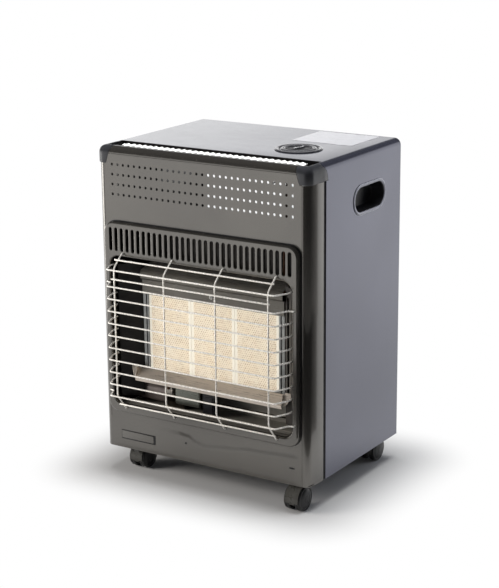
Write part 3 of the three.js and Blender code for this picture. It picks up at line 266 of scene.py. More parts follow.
def zinc(name, main, light, roughness):
    """Galvanised sheet: crystal spangle in colour and gloss."""
    f = Finish(name, main, 0.9, roughness)
    spangle = f.voronoi(95.0, "Color")
    f.colour(f.mix(f.ramp(spangle, 0.1, 0.9), main, light))
    f.rough(f.ramp(spangle, 0.0, 1.0, roughness - 0.09, roughness + 0.1))
    f.bump(f.noise(500.0, 2.0), 0.05, 0.0004)
    return f.mat


def metal(name, main, light, roughness, scale=180.0, metallic=1.0):
    """Plain metal with a fine uneven grain."""
    f = Finish(name, main, metallic, roughness)
    f.colour(f.mix(f.ramp(f.noise(scale, 4.0, 0.6), 0.3, 0.75), main, light))
    f.rough(f.ramp(f.noise(scale * 1.7, 3.0), 0.3, 0.7, roughness - 0.06, roughness + 0.1))
    f.bump(f.noise(scale * 5.0, 2.0), 0.04, 0.0003)
    return f.mat


def sooted(name, main, light, roughness):
    """Dark heat-proof coating with a dusty, uneven surface; also used near-black as painted shade inside the
    cabinet, on the left reflector and on the vent comb.
    """
    f = Finish(name, main, 0.35, roughness)
    f.colour(f.mix(f.ramp(f.noise(32.0, 5.0, 0.62), 0.35, 0.8), main, light))
    f.rough(f.ramp(f.noise(70.0, 4.0), 0.3, 0.7, roughness - 0.08, roughness + 0.12))
    f.bump(f.noise(700.0, 2.0), 0.12, 0.0004)
    return f.mat


def ceramic(name):
    """Cream burner ceramic with rows of pin holes that stop short of each plaque's edge."""
    f = Finish(name, srgb(246, 230, 204), 0.0, 0.82)
    x, z = f.axis("X"), f.axis("Z")
    pitch, row, plaque = 0.0042, 1.732, 0.088

    def lattice(shift):
        u = f.maths("ADD", f.maths("DIVIDE", x, pitch), shift)
        v = f.maths("ADD", f.maths("DIVIDE", z, pitch * row), shift)
        du = f.maths("SUBTRACT", f.maths("FRACT", u), 0.5)
        dv = f.maths("MULTIPLY", f.maths("SUBTRACT", f.maths("FRACT", v), 0.5), row)
        return f.maths("SQRT", f.maths("ADD", f.maths("MULTIPLY", du, du), f.maths("MULTIPLY", dv, dv)))

    near = f.maths("MINIMUM", lattice(0.0), lattice(0.5))
    hole = f.ramp(near, 0.22, 0.36, 1.0, 0.0)
    across = f.maths("FRACT", f.maths("ADD", f.maths("DIVIDE", x, plaque), 0.5))
    edge = f.maths("ABSOLUTE", f.maths("SUBTRACT", across, 0.5))
    inside = f.ramp(edge, 0.43, 0.437, 1.0, 0.0)
    wobble = f.noise(70.0, 3.0, 0.6)
    speck = f.ramp(f.noise(330.0, 2.0, 0.6), 0.42, 0.6, 0.35, 1.0)
    uneven = f.maths("MULTIPLY", speck, f.ramp(wobble, 0.3, 0.7, 0.6, 1.0))
    depth = f.maths("MULTIPLY", f.maths("MULTIPLY", hole, inside), uneven)
    patches = f.ramp(f.noise(38.0, 4.0, 0.65), 0.3, 0.75)
    body = f.mix(patches, srgb(255, 246, 226), srgb(250, 236, 210))
    body = f.mix(f.ramp(edge, 0.43, 0.45, 0.0, 0.85), body, srgb(255, 251, 238))
    # Painted shade: the pin holes are mixed to a darker brown for the shade in them.
    f.colour(f.mix(depth, body, srgb(168, 134, 96)))
    f.rough(f.ramp(wobble, 0.3, 0.7, 0.74, 0.92))
    f.bump(f.maths("MULTIPLY", depth, -1.0), 0.7, 0.0008)
    f.bump(f.noise(900.0, 3.0), 0.12, 0.0004)
    return f.mat


def tread(name):
    """Hard black tread, a little dusty."""
    f = Finish(name, srgb(22, 22, 23), 0.0, 0.4)
    dust = f.ramp(f.noise(90.0, 5.0, 0.65), 0.45, 0.8)
    f.colour(f.mix(dust, srgb(21, 21, 22), srgb(40, 39, 38)))
    f.rough(f.ramp(f.noise(220.0, 3.0), 0.3, 0.7, 0.3, 0.48))
    f.bump(f.noise(800.0, 3.0), 0.15, 0.0004)
    return f.mat


PAINT_FRONT = enamel("front_enamel", srgb(97, 94, 89), srgb(93, 90, 86), srgb(103, 100, 95), 0.85, 0.24)
PAINT_WRAP = enamel("cabinet_enamel", srgb(77, 79, 95), srgb(74, 76, 92), srgb(83, 85, 102), 0.75, 0.2)
BEZEL = enamel("bezel_satin", srgb(104, 104, 108), srgb(100, 100, 104), srgb(112, 112, 116), 0.6, 0.24)
CAP = plastic("cap_plastic", srgb(37, 38, 41), srgb(48, 49, 53), 0.34, 0.06)
BLACK = plastic("black_plastic", srgb(24, 24, 26), srgb(38, 38, 41), 0.34, 0.14)
CASTOR_BLACK = plastic("castor_plastic", srgb(56, 55, 52), srgb(72, 71, 67), 0.3, 0.1)
# Painted highlight: the handle rims are a pale grey that stands in for the light on them.
RIM_PAINTED_HIGHLIGHT = plastic("rim_painted_highlight", srgb(136, 137, 146), srgb(156, 157, 166), 0.26, 0.05)
GRIP = plastic("grip_inlay", srgb(168, 168, 170), srgb(186, 186, 188), 0.35, 0.05)
WHITE_CERAMIC = plastic("electrode_ceramic", srgb(226, 222, 212), srgb(238, 235, 228), 0.3, 0.05)
LEAD_AND_SEAM_SHADOW = plastic("lead_rubber", srgb(26, 26, 27), srgb(40, 39, 39), 0.55, 0.2)
PLATE = plastic("bare_plate", srgb(158, 158, 161), srgb(169, 169, 172), 0.5, 0.04)
# Painted shade: near-black for the cabinet's shaded inside.
SHADED_INSIDE = sooted("inside_painted_shade", srgb(24, 23, 23), srgb(36, 34, 33), 0.7)
DARK_STEEL = sooted("dark_steel", srgb(44, 41, 39), srgb(68, 64, 60), 0.5)
# Painted shade: a darker copy of the dark steel for the shaded left reflector and the vent comb.
PAINTED_SHADE_STEEL = sooted("painted_shade_steel", srgb(30, 28, 27), srgb(44, 41, 39), 0.6)
TRAY_STEEL = polished("tray_steel", srgb(158, 154, 146), srgb(132, 128, 121), 0.38, 0.5)
BRIGHT = polished("bright_steel", srgb(150, 145, 137), srgb(118, 112, 104), 0.13)
HOOD_STEEL = polished("hood_steel", srgb(104, 101, 95), srgb(84, 81, 76), 0.28, 0.55)
TUBE_STEEL = polished("tube_steel", srgb(140, 130, 126), srgb(112, 103, 99), 0.34, 0.6)
SHIELD_STEEL = polished("shield_steel", srgb(122, 124, 116), srgb(88, 90, 84), 0.22, 0.8)
REFLECTOR = polished("reflector_steel", srgb(202, 192, 181), srgb(172, 163, 153), 0.28, 0.6)
# Painted light: near-white for the bright band of light seen in the vent.
VENT_PAINTED_LIGHT = polished("vent_painted_light", srgb(246, 246, 243), srgb(238, 238, 234), 0.4, 0.1)
ZINC = zinc("zinc_sheet", srgb(138, 139, 138), srgb(176, 177, 175), 0.42)
WIRE = metal("guard_wire", srgb(246, 243, 237), srgb(232, 228, 220), 0.26, 240.0, 0.35)
BRASS = metal("brass_body", srgb(178, 142, 78), srgb(204, 172, 108), 0.32)
COPPER = metal("copper_pipe", srgb(92, 66, 54), srgb(118, 86, 68), 0.4)
SCREW = metal("screw_zinc", srgb(176, 176, 172), srgb(208, 206, 200), 0.3)
CERAMIC = ceramic("plaque_ceramic")
TREAD = tread("castor_tread")

# ------ mesh helpers


def add(name, data):
    made = bpy.data.objects.new(name, data)
    bpy.context.scene.collection.objects.link(made)
    return made


class Build:
    """Collects points and faces in drawing millimetres and turns them into one piece."""

    def __init__(self):
        self.points = []
        self.faces = []

    def ring(self, points):
        start = len(self.points)
        self.points += [tuple(p) for p in points]
        return list(range(start, start + len(points)))

    def bridge(self, a, b, closed):
        n = len(a)
        for i in range(n if closed else n - 1):
            j = (i + 1) % n
            self.faces.append((a[i], a[j], b[j], b[i]))

    def loft(self, rings, closed=True, ends=(False, False)):
        made = [self.ring(r) for r in rings]
        for a, b in zip(made, made[1:]):
            self.bridge(a, b, closed)
        if ends[0]:
            self.faces.append(tuple(made[0][::-1]))
        if ends[1]:
            self.faces.append(tuple(made[-1]))

    def take(self, mesh, place):
        start = len(self.points)
        self.points += [tuple(place(*v.co)) for v in mesh.vertices]
        self.faces += [tuple(start + i for i in p.vertices) for p in mesh.polygons]

    def piece(self, name, material, slot, replaces=(), body="cabinet", sharp=30.0, bevel=0.0, weld=0.004):
        mesh = bpy.data.meshes.new(name)
        mesh.from_pydata([at(*p) for p in self.points], [], self.faces)
        work = bmesh.new()
        work.from_mesh(mesh)
        if weld:
            bmesh.ops.remove_doubles(work, verts=work.verts, dist=weld / 1000.0)
        bmesh.ops.recalc_face_normals(work, faces=work.faces)
        work.to_mesh(mesh)
        work.free()
        mesh.validate()
        finish_piece(name, mesh, material, body, replaces, sharp, bevel)


def round_edges(piece, width, angle):
    rounder = piece.modifiers.new("edge", "BEVEL")
    rounder.width = width / 1000.0
    rounder.segments = 2
    rounder.limit_method = "ANGLE"
    rounder.angle_limit = math.radians(angle)
    return rounder


def finish_piece(name, mesh, material, body, replaces, sharp, bevel=0.0):
    for polygon in mesh.polygons:
        polygon.use_smooth = True
    mesh.set_sharp_from_angle(angle=math.radians(sharp))
    mesh.materials.clear()
    mesh.materials.append(material)
    piece = add(name, mesh)
    if bevel:
        round_edges(piece, bevel, 38).harden_normals = True
    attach(piece, body)
    if replaces:
        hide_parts(*replaces)
    return piece


def refined(node, material, bevel=0.0, sharp=34.0):
    """The same shape as the solid, with its flats merged, smooth curves and softened edges."""
    mesh = nodes[node].data.copy()
    work = bmesh.new()
    work.from_mesh(mesh)
    bmesh.ops.remove_doubles(work, verts=work.verts, dist=0.00001)
    flat = math.radians(0.6)
    bmesh.ops.dissolve_limit(work, angle_limit=flat, verts=work.verts, edges=work.edges, delimit=set())
    bmesh.ops.recalc_face_normals(work, faces=work.faces)
    work.to_mesh(mesh)
    work.free()
    if mesh.has_custom_normals:
        mesh.attributes.remove(mesh.attributes["custom_normal"])
    body = nodes[node]["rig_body"]
    return finish_piece(node + "_fine", mesh, material, body, (node,), sharp, bevel)


def darken_inside(piece, material):
    """Gives the faces on the cabinet's inner side a near-black colour: painted shade for the dark inside."""
    piece.data.materials.append(material)
    inner_r = EDGE_R - 0.8
    for polygon in piece.data.polygons:
        x, y, z = (1000 * c for c in polygon.center)
        across, above = abs(x) - FLAT, z - ROLL_LOW
        if across > 0 and above > 0:
            inner = math.hypot(across, above) < inner_r
        else:
            inner = across < inner_r and above < inner_r
        if inner and y + Y_MIDDLE < DEPTH - 0.4:
            polygon.material_index = 1


def arc(cu, cv, r, start, end, steps):
    turns = [math.radians(start + (end - start) * i / steps) for i in range(steps + 1)]
    return [(cu + r * math.cos(a), cv + r * math.sin(a)) for a in turns]


def rounded(u0, u1, v0, v1, r, steps):
    return (
        arc(u1 - r, v0 + r, r, -90, 0, steps)
        + arc(u1 - r, v1 - r, r, 0, 90, steps)
        + arc(u0 + r, v1 - r, r, 90, 180, steps)
        + arc(u0 + r, v0 + r, r, 180, 270, steps)
    )


def centred(half, low, high, r, inset=0.0, steps=12):
    """A rounded rectangle on the middle line, its heights taken from the cabinet's bottom."""
    return rounded(-half + inset, half - inset, BASE + low + inset, BASE + high - inset, r - inset, steps)


def circle(cu, cv, r, steps):
    turns = [2 * math.pi * i / steps for i in range(steps)]
    return [(cu + r * math.cos(a), cv + r * math.sin(a)) for a in turns]


def filled(outline, holes, thick, edge=0.0):
    """A flat plate with holes, as a mesh in its own plane, centred on it."""
    curve = bpy.data.curves.new("plate", "CURVE")
    curve.dimensions = "2D"
    curve.fill_mode = "BOTH"
    curve.extrude = thick / 2 - edge
    if edge:
        curve.bevel_depth = edge
        curve.bevel_resolution = 1
        curve.offset = -edge
    for number, points in enumerate([outline] + holes):
        area = sum(p[0] * q[1] - q[0] * p[1] for p, q in zip(points, points[1:] + points[:1]))
        if (area > 0) != (number == 0):
            points = points[::-1]
        spline = curve.splines.new("POLY")
        spline.points.add(len(points) - 1)
        for target, (u, v) in zip(spline.points, points):
            target.co = (u, v, 0.0, 1.0)
        spline.use_cyclic_u = True
    holder = add("plate", curve)
    bpy.context.view_layer.update()
    mesh = bpy.data.meshes.new_from_object(holder.evaluated_get(bpy.context.evaluated_depsgraph_get()))
    bpy.data.objects.remove(holder)
    bpy.data.curves.remove(curve)
    return mesh


def eased(path, radius):
    """A path with its corners rounded."""
    steps = 5
    points = [Vector(p) for p in path]
    out = [points[0]]
    for before, here, after in zip(points, points[1:], points[2:]):
        a, b = before - here, after - here
        reach = min(radius, a.length * 0.48, b.length * 0.48)
        start, end = here + a.normalized() * reach, here + b.normalized() * reach
        for i in range(steps + 1):
            t = i / steps
            out.append(start.lerp(here, t).lerp(here.lerp(end, t), t))
    out.append(points[-1])
    return out


def tube(build, path):
    """A round wire along a path, without twist, closed with small domed ends."""
    points = [Vector(p) for p in path]
    last = len(points) - 1
    tangents = [(points[min(i + 1, last)] - points[max(i - 1, 0)]).normalized() for i in range(last + 1)]
    aside = Vector((0, 0, 1)) if abs(tangents[0].z) < 0.9 else Vector((0, 1, 0))
    across = tangents[0].cross(aside).normalized()
    dome = [(0.55, -0.45), (0.9, -0.25), (1.0, 0.0)]
    rings = []
    for i, (p, t) in enumerate(zip(points, tangents)):
        if i:
            across = (tangents[i - 1].rotation_difference(t) @ across).normalized()
        up = t.cross(across)
        sizes = [(1.0, 0.0)]
        if i == 0:
            sizes = dome
        elif i == last:
            sizes = [(size, -push) for size, push in dome[::-1]]
        for size, push in sizes:
            centre = p + t * (push * WIRE_R)
            rings.append([centre + across * u + up * v for u, v in circle(0, 0, size * WIRE_R, 12)])
    build.loft(rings, ends=(True, True))


def lathe(build, profile, place, sides=72):
    """A profile of (radius, height) turned about an axis; place(a, b, height) puts it in the drawing."""
    rings = [[place(a, b, h) for a, b in circle(0, 0, r, sides)] for r, h in profile]
    build.loft(rings, ends=(profile[0][0] > 0, profile[-1][0] > 0))


def lofted(name, material, slot, rings, replaces=(), **more):
    """A piece that is one closed loft."""
    build = Build()
    build.loft(rings, ends=(True, True))
    build.piece(name, material, slot, replaces, **more)


def screw(name, point, normal, radius, height):
    """A pan-head screw with a cross recess."""
    n = Vector(normal).normalized()
    side = n.cross(Vector((0, 0, 1)))
    other = n.cross(side)
    head = zip(
        (1.0, 1.0, 0.93, 0.8, 0.66, 0.56, 0.46, 0.32, 0.18, 0.02),
        (0.0, 0.45, 0.8, 0.93, 0.97, 0.985, 1.0, 1.0, 1.0, 1.0),
    )
    rings = []
    for share, rise in head:
        r, h = radius * share, height * rise
        ring = []
        for i in range(40):
            a = 2 * math.pi * i / 40 + 0.3
            u, v = r * math.cos(a), r * math.sin(a)
            arm = min(abs(u), abs(v)) < radius * 0.13 and r < radius * 0.6
            ring.append(Vector(point) + side * u + other * v + n * (h - (height * 0.75 if arm else 0.0)))
        rings.append(ring)
    build = Build()
    build.loft(rings, ends=(False, True))
    build.piece(name, SCREW, "bright_steel")


# ------ front panel


def seam_at(z):
    """Half the width of the front at height z, where the corner caps cut into it."""
    return CAP_SEAM_LOW + (z - CAP_LOW) / CAP_HEIGHT * (CAP_SEAM_HIGH - CAP_SEAM_LOW)


def ease(t):
    t = min(max(t, 0.0), 1.0)
    return t * t * (3 - 2 * t)


def crease(x):
    """Height of the soft fold pressed into the lower panel; x from its left edge, height from its bottom."""
    marks = [(0, 50.5), (60, 50), (160, 49), (178, 47), (196, 39)]
    marks += [(210, 35.5), (260, 41), (303, 46.5), (382, 50), (420, 51)]
    for (a, p), (b, q) in zip(marks, marks[1:]):
        if a <= x <= b:
            return p + (q - p) * ease((x - a) / (b - a))
    return marks[-1][1]


def relief(x, z):
    """How far the lower panel stands proud at drawing x, z."""
    left, high = x + HALF, z - BASE
    fade = ease((left - 14) / 14) * ease((HALF * 2 - 16 - left) / 14)
    proud = 0.7 * (1 - ease((high - crease(left) + 6.0) / 12.0)) * ease((high - 1.0) / 5.0) * fade
    if BADGE_LEFT < left < BADGE_RIGHT and BADGE_LOW < high < BADGE_HIGH:
        proud -= 0.65
    return proud


def fold_profile():
    """Section of the front's folded side in x and y: the corner, the bowed side and the return."""
    edge = FLAT - FOLD_BOW
    outer = [(edge, 0)] + arc(edge, EDGE_R, EDGE_R, -90, -FOLD_LEAN, 12)[1:]
    x, y = outer[-1]
    run = FOLD_END - 1.0 - y
    for k in range(1, 10):
        t = k / 10.0
        outer.append((HALF - (HALF - x) * (1 - t) ** 2, y + run * t))
    turn = [(0, -1.0), (0.4, -0.3), (1.4, 0), (9, 0), (9, -SHEET), (SHEET, -0.8 - SHEET)]
    turn = [(HALF - inset, FOLD_END + back) for inset, back in turn]
    inner = arc(edge, EDGE_R, EDGE_R - SHEET, 0, -90, 12)
    return [(edge - 0.6, 0)] + outer + turn + inner + [(edge - 0.6, SHEET)]


def roll_profile():
    """Section of the front's rolled top edge in y and z."""
    outer = arc(EDGE_R, ROLL_LOW, EDGE_R, 180, 90, 12)
    flange = [(VENT_FRONT - 0.6, TOP), (VENT_FRONT, TOP - 0.4), (VENT_FRONT, TOP - SHEET)]
    inner = arc(EDGE_R, ROLL_LOW, EDGE_R - SHEET, 90, 180, 12)
    return [(0, ROLL_LOW - 0.6)] + outer + flange + inner + [(SHEET, ROLL_LOW - 0.6)]


def front_panel():
    """Perforated sheet with the window behind the surround, over a lower part with its pressed relief."""
    build = Build()
    split = BASE + 66.0
    low = CAP_LOW - 0.4
    wide = FLAT - FOLD_BOW
    right = [(wide, split), (wide, low), (seam_at(low), low), (seam_at(ROLL_LOW), ROLL_LOW)]
    face = [(-wide, split)] + right + [(-x, z) for x, z in right[:0:-1]]
    holes = [centred(184, 83, 403.5, 8, steps=4)]
    holes += [circle(x, z, PERFORATION_R, 16) for z in ROWS for x in COLUMNS]
    build.take(filled(face, holes, SHEET), lambda u, v, w: (u, SHEET / 2 + w, v))
    xs = [-wide, wide] + [-wide + 3.3 * i for i in range(1, 120)]
    xs += [x - HALF for x in (BADGE_LEFT, BADGE_LEFT + 0.5, BADGE_RIGHT - 0.5, BADGE_RIGHT)]
    xs = sorted(x for x in set(xs) if x <= wide)
    zs = [BASE + 1.5 * i for i in range(45)]
    zs += [BASE + z for z in (BADGE_LOW, BADGE_LOW + 0.5, BADGE_HIGH - 0.5, BADGE_HIGH)]
    zs = sorted(z for z in set(zs) if z <= split)
    build.loft([[(x, -relief(x, z), z) for x in xs] for z in zs], closed=False)
    build.loft([[(x, SHEET, z) for x in xs] for z in (BASE, split)], closed=False)
    bottom = [[(x, -relief(x, BASE), BASE) for x in xs], [(x, SHEET, BASE) for x in xs]]
    build.loft(bottom, closed=False)
    for sign in (1, -1):
        build.loft([[(sign * x, y, z) for x, y in fold_profile()] for z in (BASE, low)], ends=(True, True))
    roll = [[(sign * seam_at(z), y, z) for y, z in roll_profile()] for sign in (-1, 1)]
    build.loft(roll, ends=(True, True))
    build.piece("front_panel_fine", PAINT_FRONT, "cabinet_paint", ("front_panel",))


def seam_shadow_strip(sign, name):
    """A black strip as painted shadow in the seam between the front's fold and the cabinet's side."""
    front, rear = FOLD_END - 0.2, SEAM_FRONT + 4.0
    section = [(4.0, front), (2.2, front), (1.6, front + 0.5)]
    section += [(1.25, SEAM_FRONT - 0.2), (1.25, rear), (4.0, rear)]
    levels = (BASE + 0.6, CAP_LOW + 2)
    rings = [[(sign * (HALF - inset), y, z) for inset, y in section] for z in levels]
    lofted(name, LEAD_AND_SEAM_SHADOW, "black_plastic", rings)


def flat_piece(name, material, slot, outline, thick, y, holes=(), edge=0.0):
    """A thin plate that lies on the front, with its middle at depth y."""
    build = Build()
    build.take(filled(outline, list(holes), thick, edge), lambda u, v, w: (u, y + w, v))
    build.piece(name, material, slot)


def badge_place():
    """The pocket low on the left, with a black sheet in it as painted shadow and a bare plate over it that
    leaves the dark gap widest at the right.
    """
    left, right = BADGE_LEFT - HALF, BADGE_RIGHT - HALF
    low, high = BASE + BADGE_LOW + 0.6, BASE + BADGE_HIGH - 0.6
    gap = rounded(left + 0.6, right - 0.6, low, high, 0.8, 3)
    flat_piece("badge_shadow_gap", BLACK, "black_plastic", gap, 0.5, -0.5, edge=0.1)
    plate = rounded(left + 1.2, right - 4.0, low + 1.6, high - 0.8, 1.0, 4)
    flat_piece("badge_plate_bare", PAINT_FRONT, "cabinet_paint", plate, 1.0, -1.15, edge=0.25)


def surround_shadow_gap():
    """A black sheet as painted shadow: the dark line where the raised surround stands on the panel."""
    outer = rounded(-194.2, 194.4, BASE + 69.2, BASE + 412.6, 21, 10)
    inner = centred(190, 73, 408, 17, steps=10)
    flat_piece("surround_shadow_gap", BLACK, "black_plastic", outer, 0.36, -0.19, [inner])


def small_marks():
    """The pin hole with its light rim and the drain slot, low on the panel."""
    marks = (
        ("panel_dot", 173.0 - HALF, BASE + 33.5, 1.9, 1.9),
        ("drain_slot", 176.0, BASE + 30.0, 6.0, 1.5),
    )
    for name, x, z, wide, high in marks:
        build = Build()
        rings = []
        for grow, y in ((1.0, 0.05), (0.9, -0.55), (0.62, -0.55), (0.5, -0.2), (0.02, -0.2)):
            level = y - relief(x, z)
            rings.append([(x + wide * u, level, z + high * v) for u, v in circle(0, 0, grow, 24)])
        build.loft(rings, ends=(False, True))
        build.piece(name, BLACK, "black_plastic", sharp=40.0)


def vent_teeth():
    """The scalloped inner edge of the vent, one tooth to a column."""
    front = EDGE_R + 1.5
    outline = [(COLUMNS[0] - 5.7, front)]
    for x in COLUMNS:
        for k in range(9):
            t = k / 8.0
            outline.append((x - 5.4 + 10.8 * t, EDGE_R + 2.6 + 3.2 * math.sin(math.pi * t) ** 0.7))
    outline.append((COLUMNS[-1] + 5.7, front))
    build = Build()
    build.take(filled(outline, [], 0.9), lambda u, v, w: (u, v, TOP - 0.75 + 0.16 * (v - front) + w))
    build.piece("vent_teeth", BLACK, "black_plastic", sharp=32.0)


def vent_pleats():
    """The pleated ledge inside the vent, one pleat to a column, near-white as painted light for the bright
    band seen in the vent.
    """
    half, count = 181.0, 33 * 12
    section = [(42.6, 2.6), (42.8, 1.9), (42.2, 1.5), (24.4, 5.0), (23.8, 5.5), (24.4, 6.0)]
    rings = []
    for y, drop in section:
        row = []
        for i in range(count + 1):
            x = -half + 2 * half * i / count
            wave = 1 - 4 * abs(((x - COLUMNS[0]) / COLUMN_PITCH) % 1.0 - 0.5)
            row.append((x, y + 1.2 * wave, TOP - drop + 0.75 * wave))
        rings.append(row)
    build = Build()
    build.loft(rings + [rings[0]], closed=False)
    build.piece("vent_pleats", VENT_PAINTED_LIGHT, "bright_steel", sharp=50.0)


def corner_cap(sign, name):
    """A moulded corner with a true ball corner, cut along its seams and its leaning rear edge."""
    work = bmesh.new()
    corner = (-HALF, 0.0, TOP)
    wide, deep, tall = 60.0, 100.0, 80.0
    for v in bmesh.ops.create_cube(work, size=1.0)["verts"]:
        x, y, z = v.co
        v.co = (wide * (x + 0.5) - HALF, deep * (y + 0.5), TOP - tall + tall * (z + 0.5))

    def drop(outside):
        doomed = [f for f in work.faces if outside(*f.calc_center_median())]
        bmesh.ops.delete(work, geom=doomed, context="FACES")

    def cut(point, normal, clear=False):
        geometry = work.verts[:] + work.edges[:] + work.faces[:]
        plane = {"plane_co": point, "plane_no": Vector(normal).normalized()}
        bmesh.ops.bisect_plane(work, geom=geometry, dist=1e-6, clear_outer=clear, **plane)

    def on_corner(edge):
        return sum((edge.verts[0].co[i] + edge.verts[1].co[i]) / 2 == corner[i] for i in range(3)) >= 2

    rim = [e for e in work.edges if on_corner(e)]
    shape = {"offset_type": "OFFSET", "segments": 10, "profile": 0.5, "affect": "EDGES"}
    bmesh.ops.bevel(work, geom=rim, offset=EDGE_R, **shape)
    drop(lambda x, y, z: x > wide - 0.1 - HALF or y > deep - 0.1 or z < TOP - tall + 0.1)
    cut((0, 0, CAP_LOW), (0, 0, -1), True)
    gap = 0.4
    low, high = -CAP_SEAM_LOW - gap, -CAP_SEAM_HIGH - gap
    cut((low, 0, CAP_LOW), (CAP_HEIGHT + 1, 0, low - high), True)
    lean = CAP_REAR - CAP_REAR_TOP
    shares = ((0.0, 0.0), (0.12, 0.3), (0.45, 0.6), (1.0, 0.86))
    side = [(CAP_REAR - lean * back, CAP_LOW + CAP_HEIGHT * up) for back, up in shares]
    side.append((CAP_REAR_TOP, TOP + 5))
    for (p, q), (r, s) in zip(side, side[1:]):
        cut((0, p, q), (0, s - q, p - r))

    def behind(x, y, z):
        for (p, q), (r, s) in zip(side, side[1:]):
            if z <= s:
                return y > p + (r - p) * (z - q) / (s - q)

    drop(behind)
    inner = -FLAT - gap
    cut((inner, 0, 0), (1, 0, 0))
    cut((0, VENT_FRONT, 0), (0, 1, 0))
    drop(lambda x, y, z: x > inner and y > VENT_FRONT and z > TOP - 15)
    for v in work.verts:
        v.co = at(sign * -v.co.x, v.co.y, v.co.z)
    bmesh.ops.remove_doubles(work, verts=work.verts, dist=1e-6)
    bmesh.ops.recalc_face_normals(work, faces=work.faces)
    if sum((f.normal for f in work.faces), Vector()).z < 0:
        bmesh.ops.reverse_faces(work, faces=work.faces)
    mesh = bpy.data.meshes.new(name + "_fine")
    work.to_mesh(mesh)
    work.free()
    piece = finish_piece(name + "_fine", mesh, CAP, "cabinet", (name,), 40.0)
    wall = piece.modifiers.new("wall", "SOLIDIFY")
    wall.thickness = 0.0018
    wall.offset = -1.0
    round_edges(piece, 0.4, 50)


# ------ raised surround and guard


def rolled(radius, side):
    """Insets and depths round an edge of the surround's face, from flat to square."""
    turns = [math.radians(a) for a in (0, 12, 25, 40, 55, 70, 90)]
    return [(side * radius * (1 - math.sin(a)), FACE_Y + radius * (1 - math.cos(a))) for a in turns]


def slot_edge(x, grow):
    half = SLOT_HALF + grow
    return rounded(x - half, x + half, SLOT_LOW - grow, SLOT_HIGH + grow, 3.29 + grow, 5)


def surround():
    """The raised frame with its window, its slots and the guard's holes."""
    build = Build()
    edge, roll, lip = 3.0, 2.6, 0.7

    def outer(inset):
        return centred(193, 70, 411, 20, inset)

    def window(inset):
        return centred(182, 85, 352, 18, inset)

    places = [(x, z) for x in UPRIGHTS for z in (358.2, 79.6)]
    places += [(x, z) for x in (-HOOK_X, HOOK_X) for z in (305.0, 108.8)]
    holes = [window(-roll)] + [slot_edge(x, lip) for x in COLUMNS]
    holes += [circle(x, BASE + z, 2.3, 14) for x, z in places]
    build.take(filled(outer(edge), holes, SHEET), lambda u, v, w: (u, FACE_Y + SHEET / 2 + w, v))
    walls = rolled(edge, 1) + [(0.0, -0.35)]
    build.loft([[(x, y, z) for x, z in outer(inset)] for inset, y in walls])
    rim = [(0.0, 14.6), (0.25, 15.4), (0.9, 15.9), (1.3, 15.2), (1.3, 3)]
    inner = rolled(roll, -1) + [(inset, FACE_Y + depth) for inset, depth in rim]
    build.loft([[(x, y, z) for x, z in window(inset)] for inset, y in inner])
    lips = [(lip, 0.0), (0.28, 0.1), (0.06, 0.35), (0.0, 0.7), (0.0, 3.4), (0.5, 3.4)]
    for x in COLUMNS:
        build.loft([[(u, FACE_Y + depth, v) for u, v in slot_edge(x, grow)] for grow, depth in lips])
    build.piece("grille_surround_fine", PAINT_FRONT, "cabinet_paint", ("grille_surround",), sharp=34.0)


def guard():
    """The wire guard: bent bars on four uprights, with hooks that pass into the surround's holes."""
    build = Build()
    front = -39.0
    back = front + 2.7
    tip = FACE_Y + 1.4
    root = FACE_Y - 2.5
    knee = [(167.0, front + 1.0), (163.0, front)]
    hook = [(HOOK_X, tip), (HOOK_X, FACE_Y - 2.2), (178.0, FACE_Y - 3.8)] + knee
    leg = [(178.4, FACE_Y + 13), (178.4, FACE_Y - 3)] + knee

    def bent_bar(z, half):
        path = half + [(-x, y) for x, y in half[::-1]]
        tube(build, eased([(x, y, z) for x, y in path], 5.0))

    def straight_bar(y, z, half):
        tube(build, [(-half, y, z), (half, y, z)])

    bent_bar(BASE + 334.4, leg)
    straight_bar(front, BASE + 319.0, 157.5)
    for i in range(10):
        bent_bar(BASE + BAR_HIGH - BAR_PITCH * i, hook if i in (0, 9) else leg)
    line = [(tip, 359.0), (root, 358.0), (back, 338.0), (back, 110.0), (root, 80.0), (tip, 79.0)]
    for x in UPRIGHTS:
        tube(build, eased([(x, y, BASE + z) for y, z in line], 6.0))
    # One straight bar lies on the slope at each end of the uprights.
    for share, high, foot in ((0.5, 338.0, 358.0), (0.6, 110.0, 80.0)):
        rise, fall = foot - high, root - back
        lift = 1.5 * 1.62 / math.hypot(rise, fall)
        y = back + fall * share - lift * abs(rise)
        z = BASE + high + rise * share + lift * math.copysign(fall, rise)
        straight_bar(y, z, 158.5)
    build.piece("wire_guard_fine", WIRE, "guard_wire", ("wire_guard",), sharp=60.0, weld=0)


# ------ knob and handles


def on_knob(a, b, h):
    return (KNOB[0] + a, KNOB[1] + b, h)


def grip_bend(u):
    """How far the knob's ridge lies off its line, which gives it an S shape."""
    return 2.3 * math.sin(math.pi * u / 16.0)


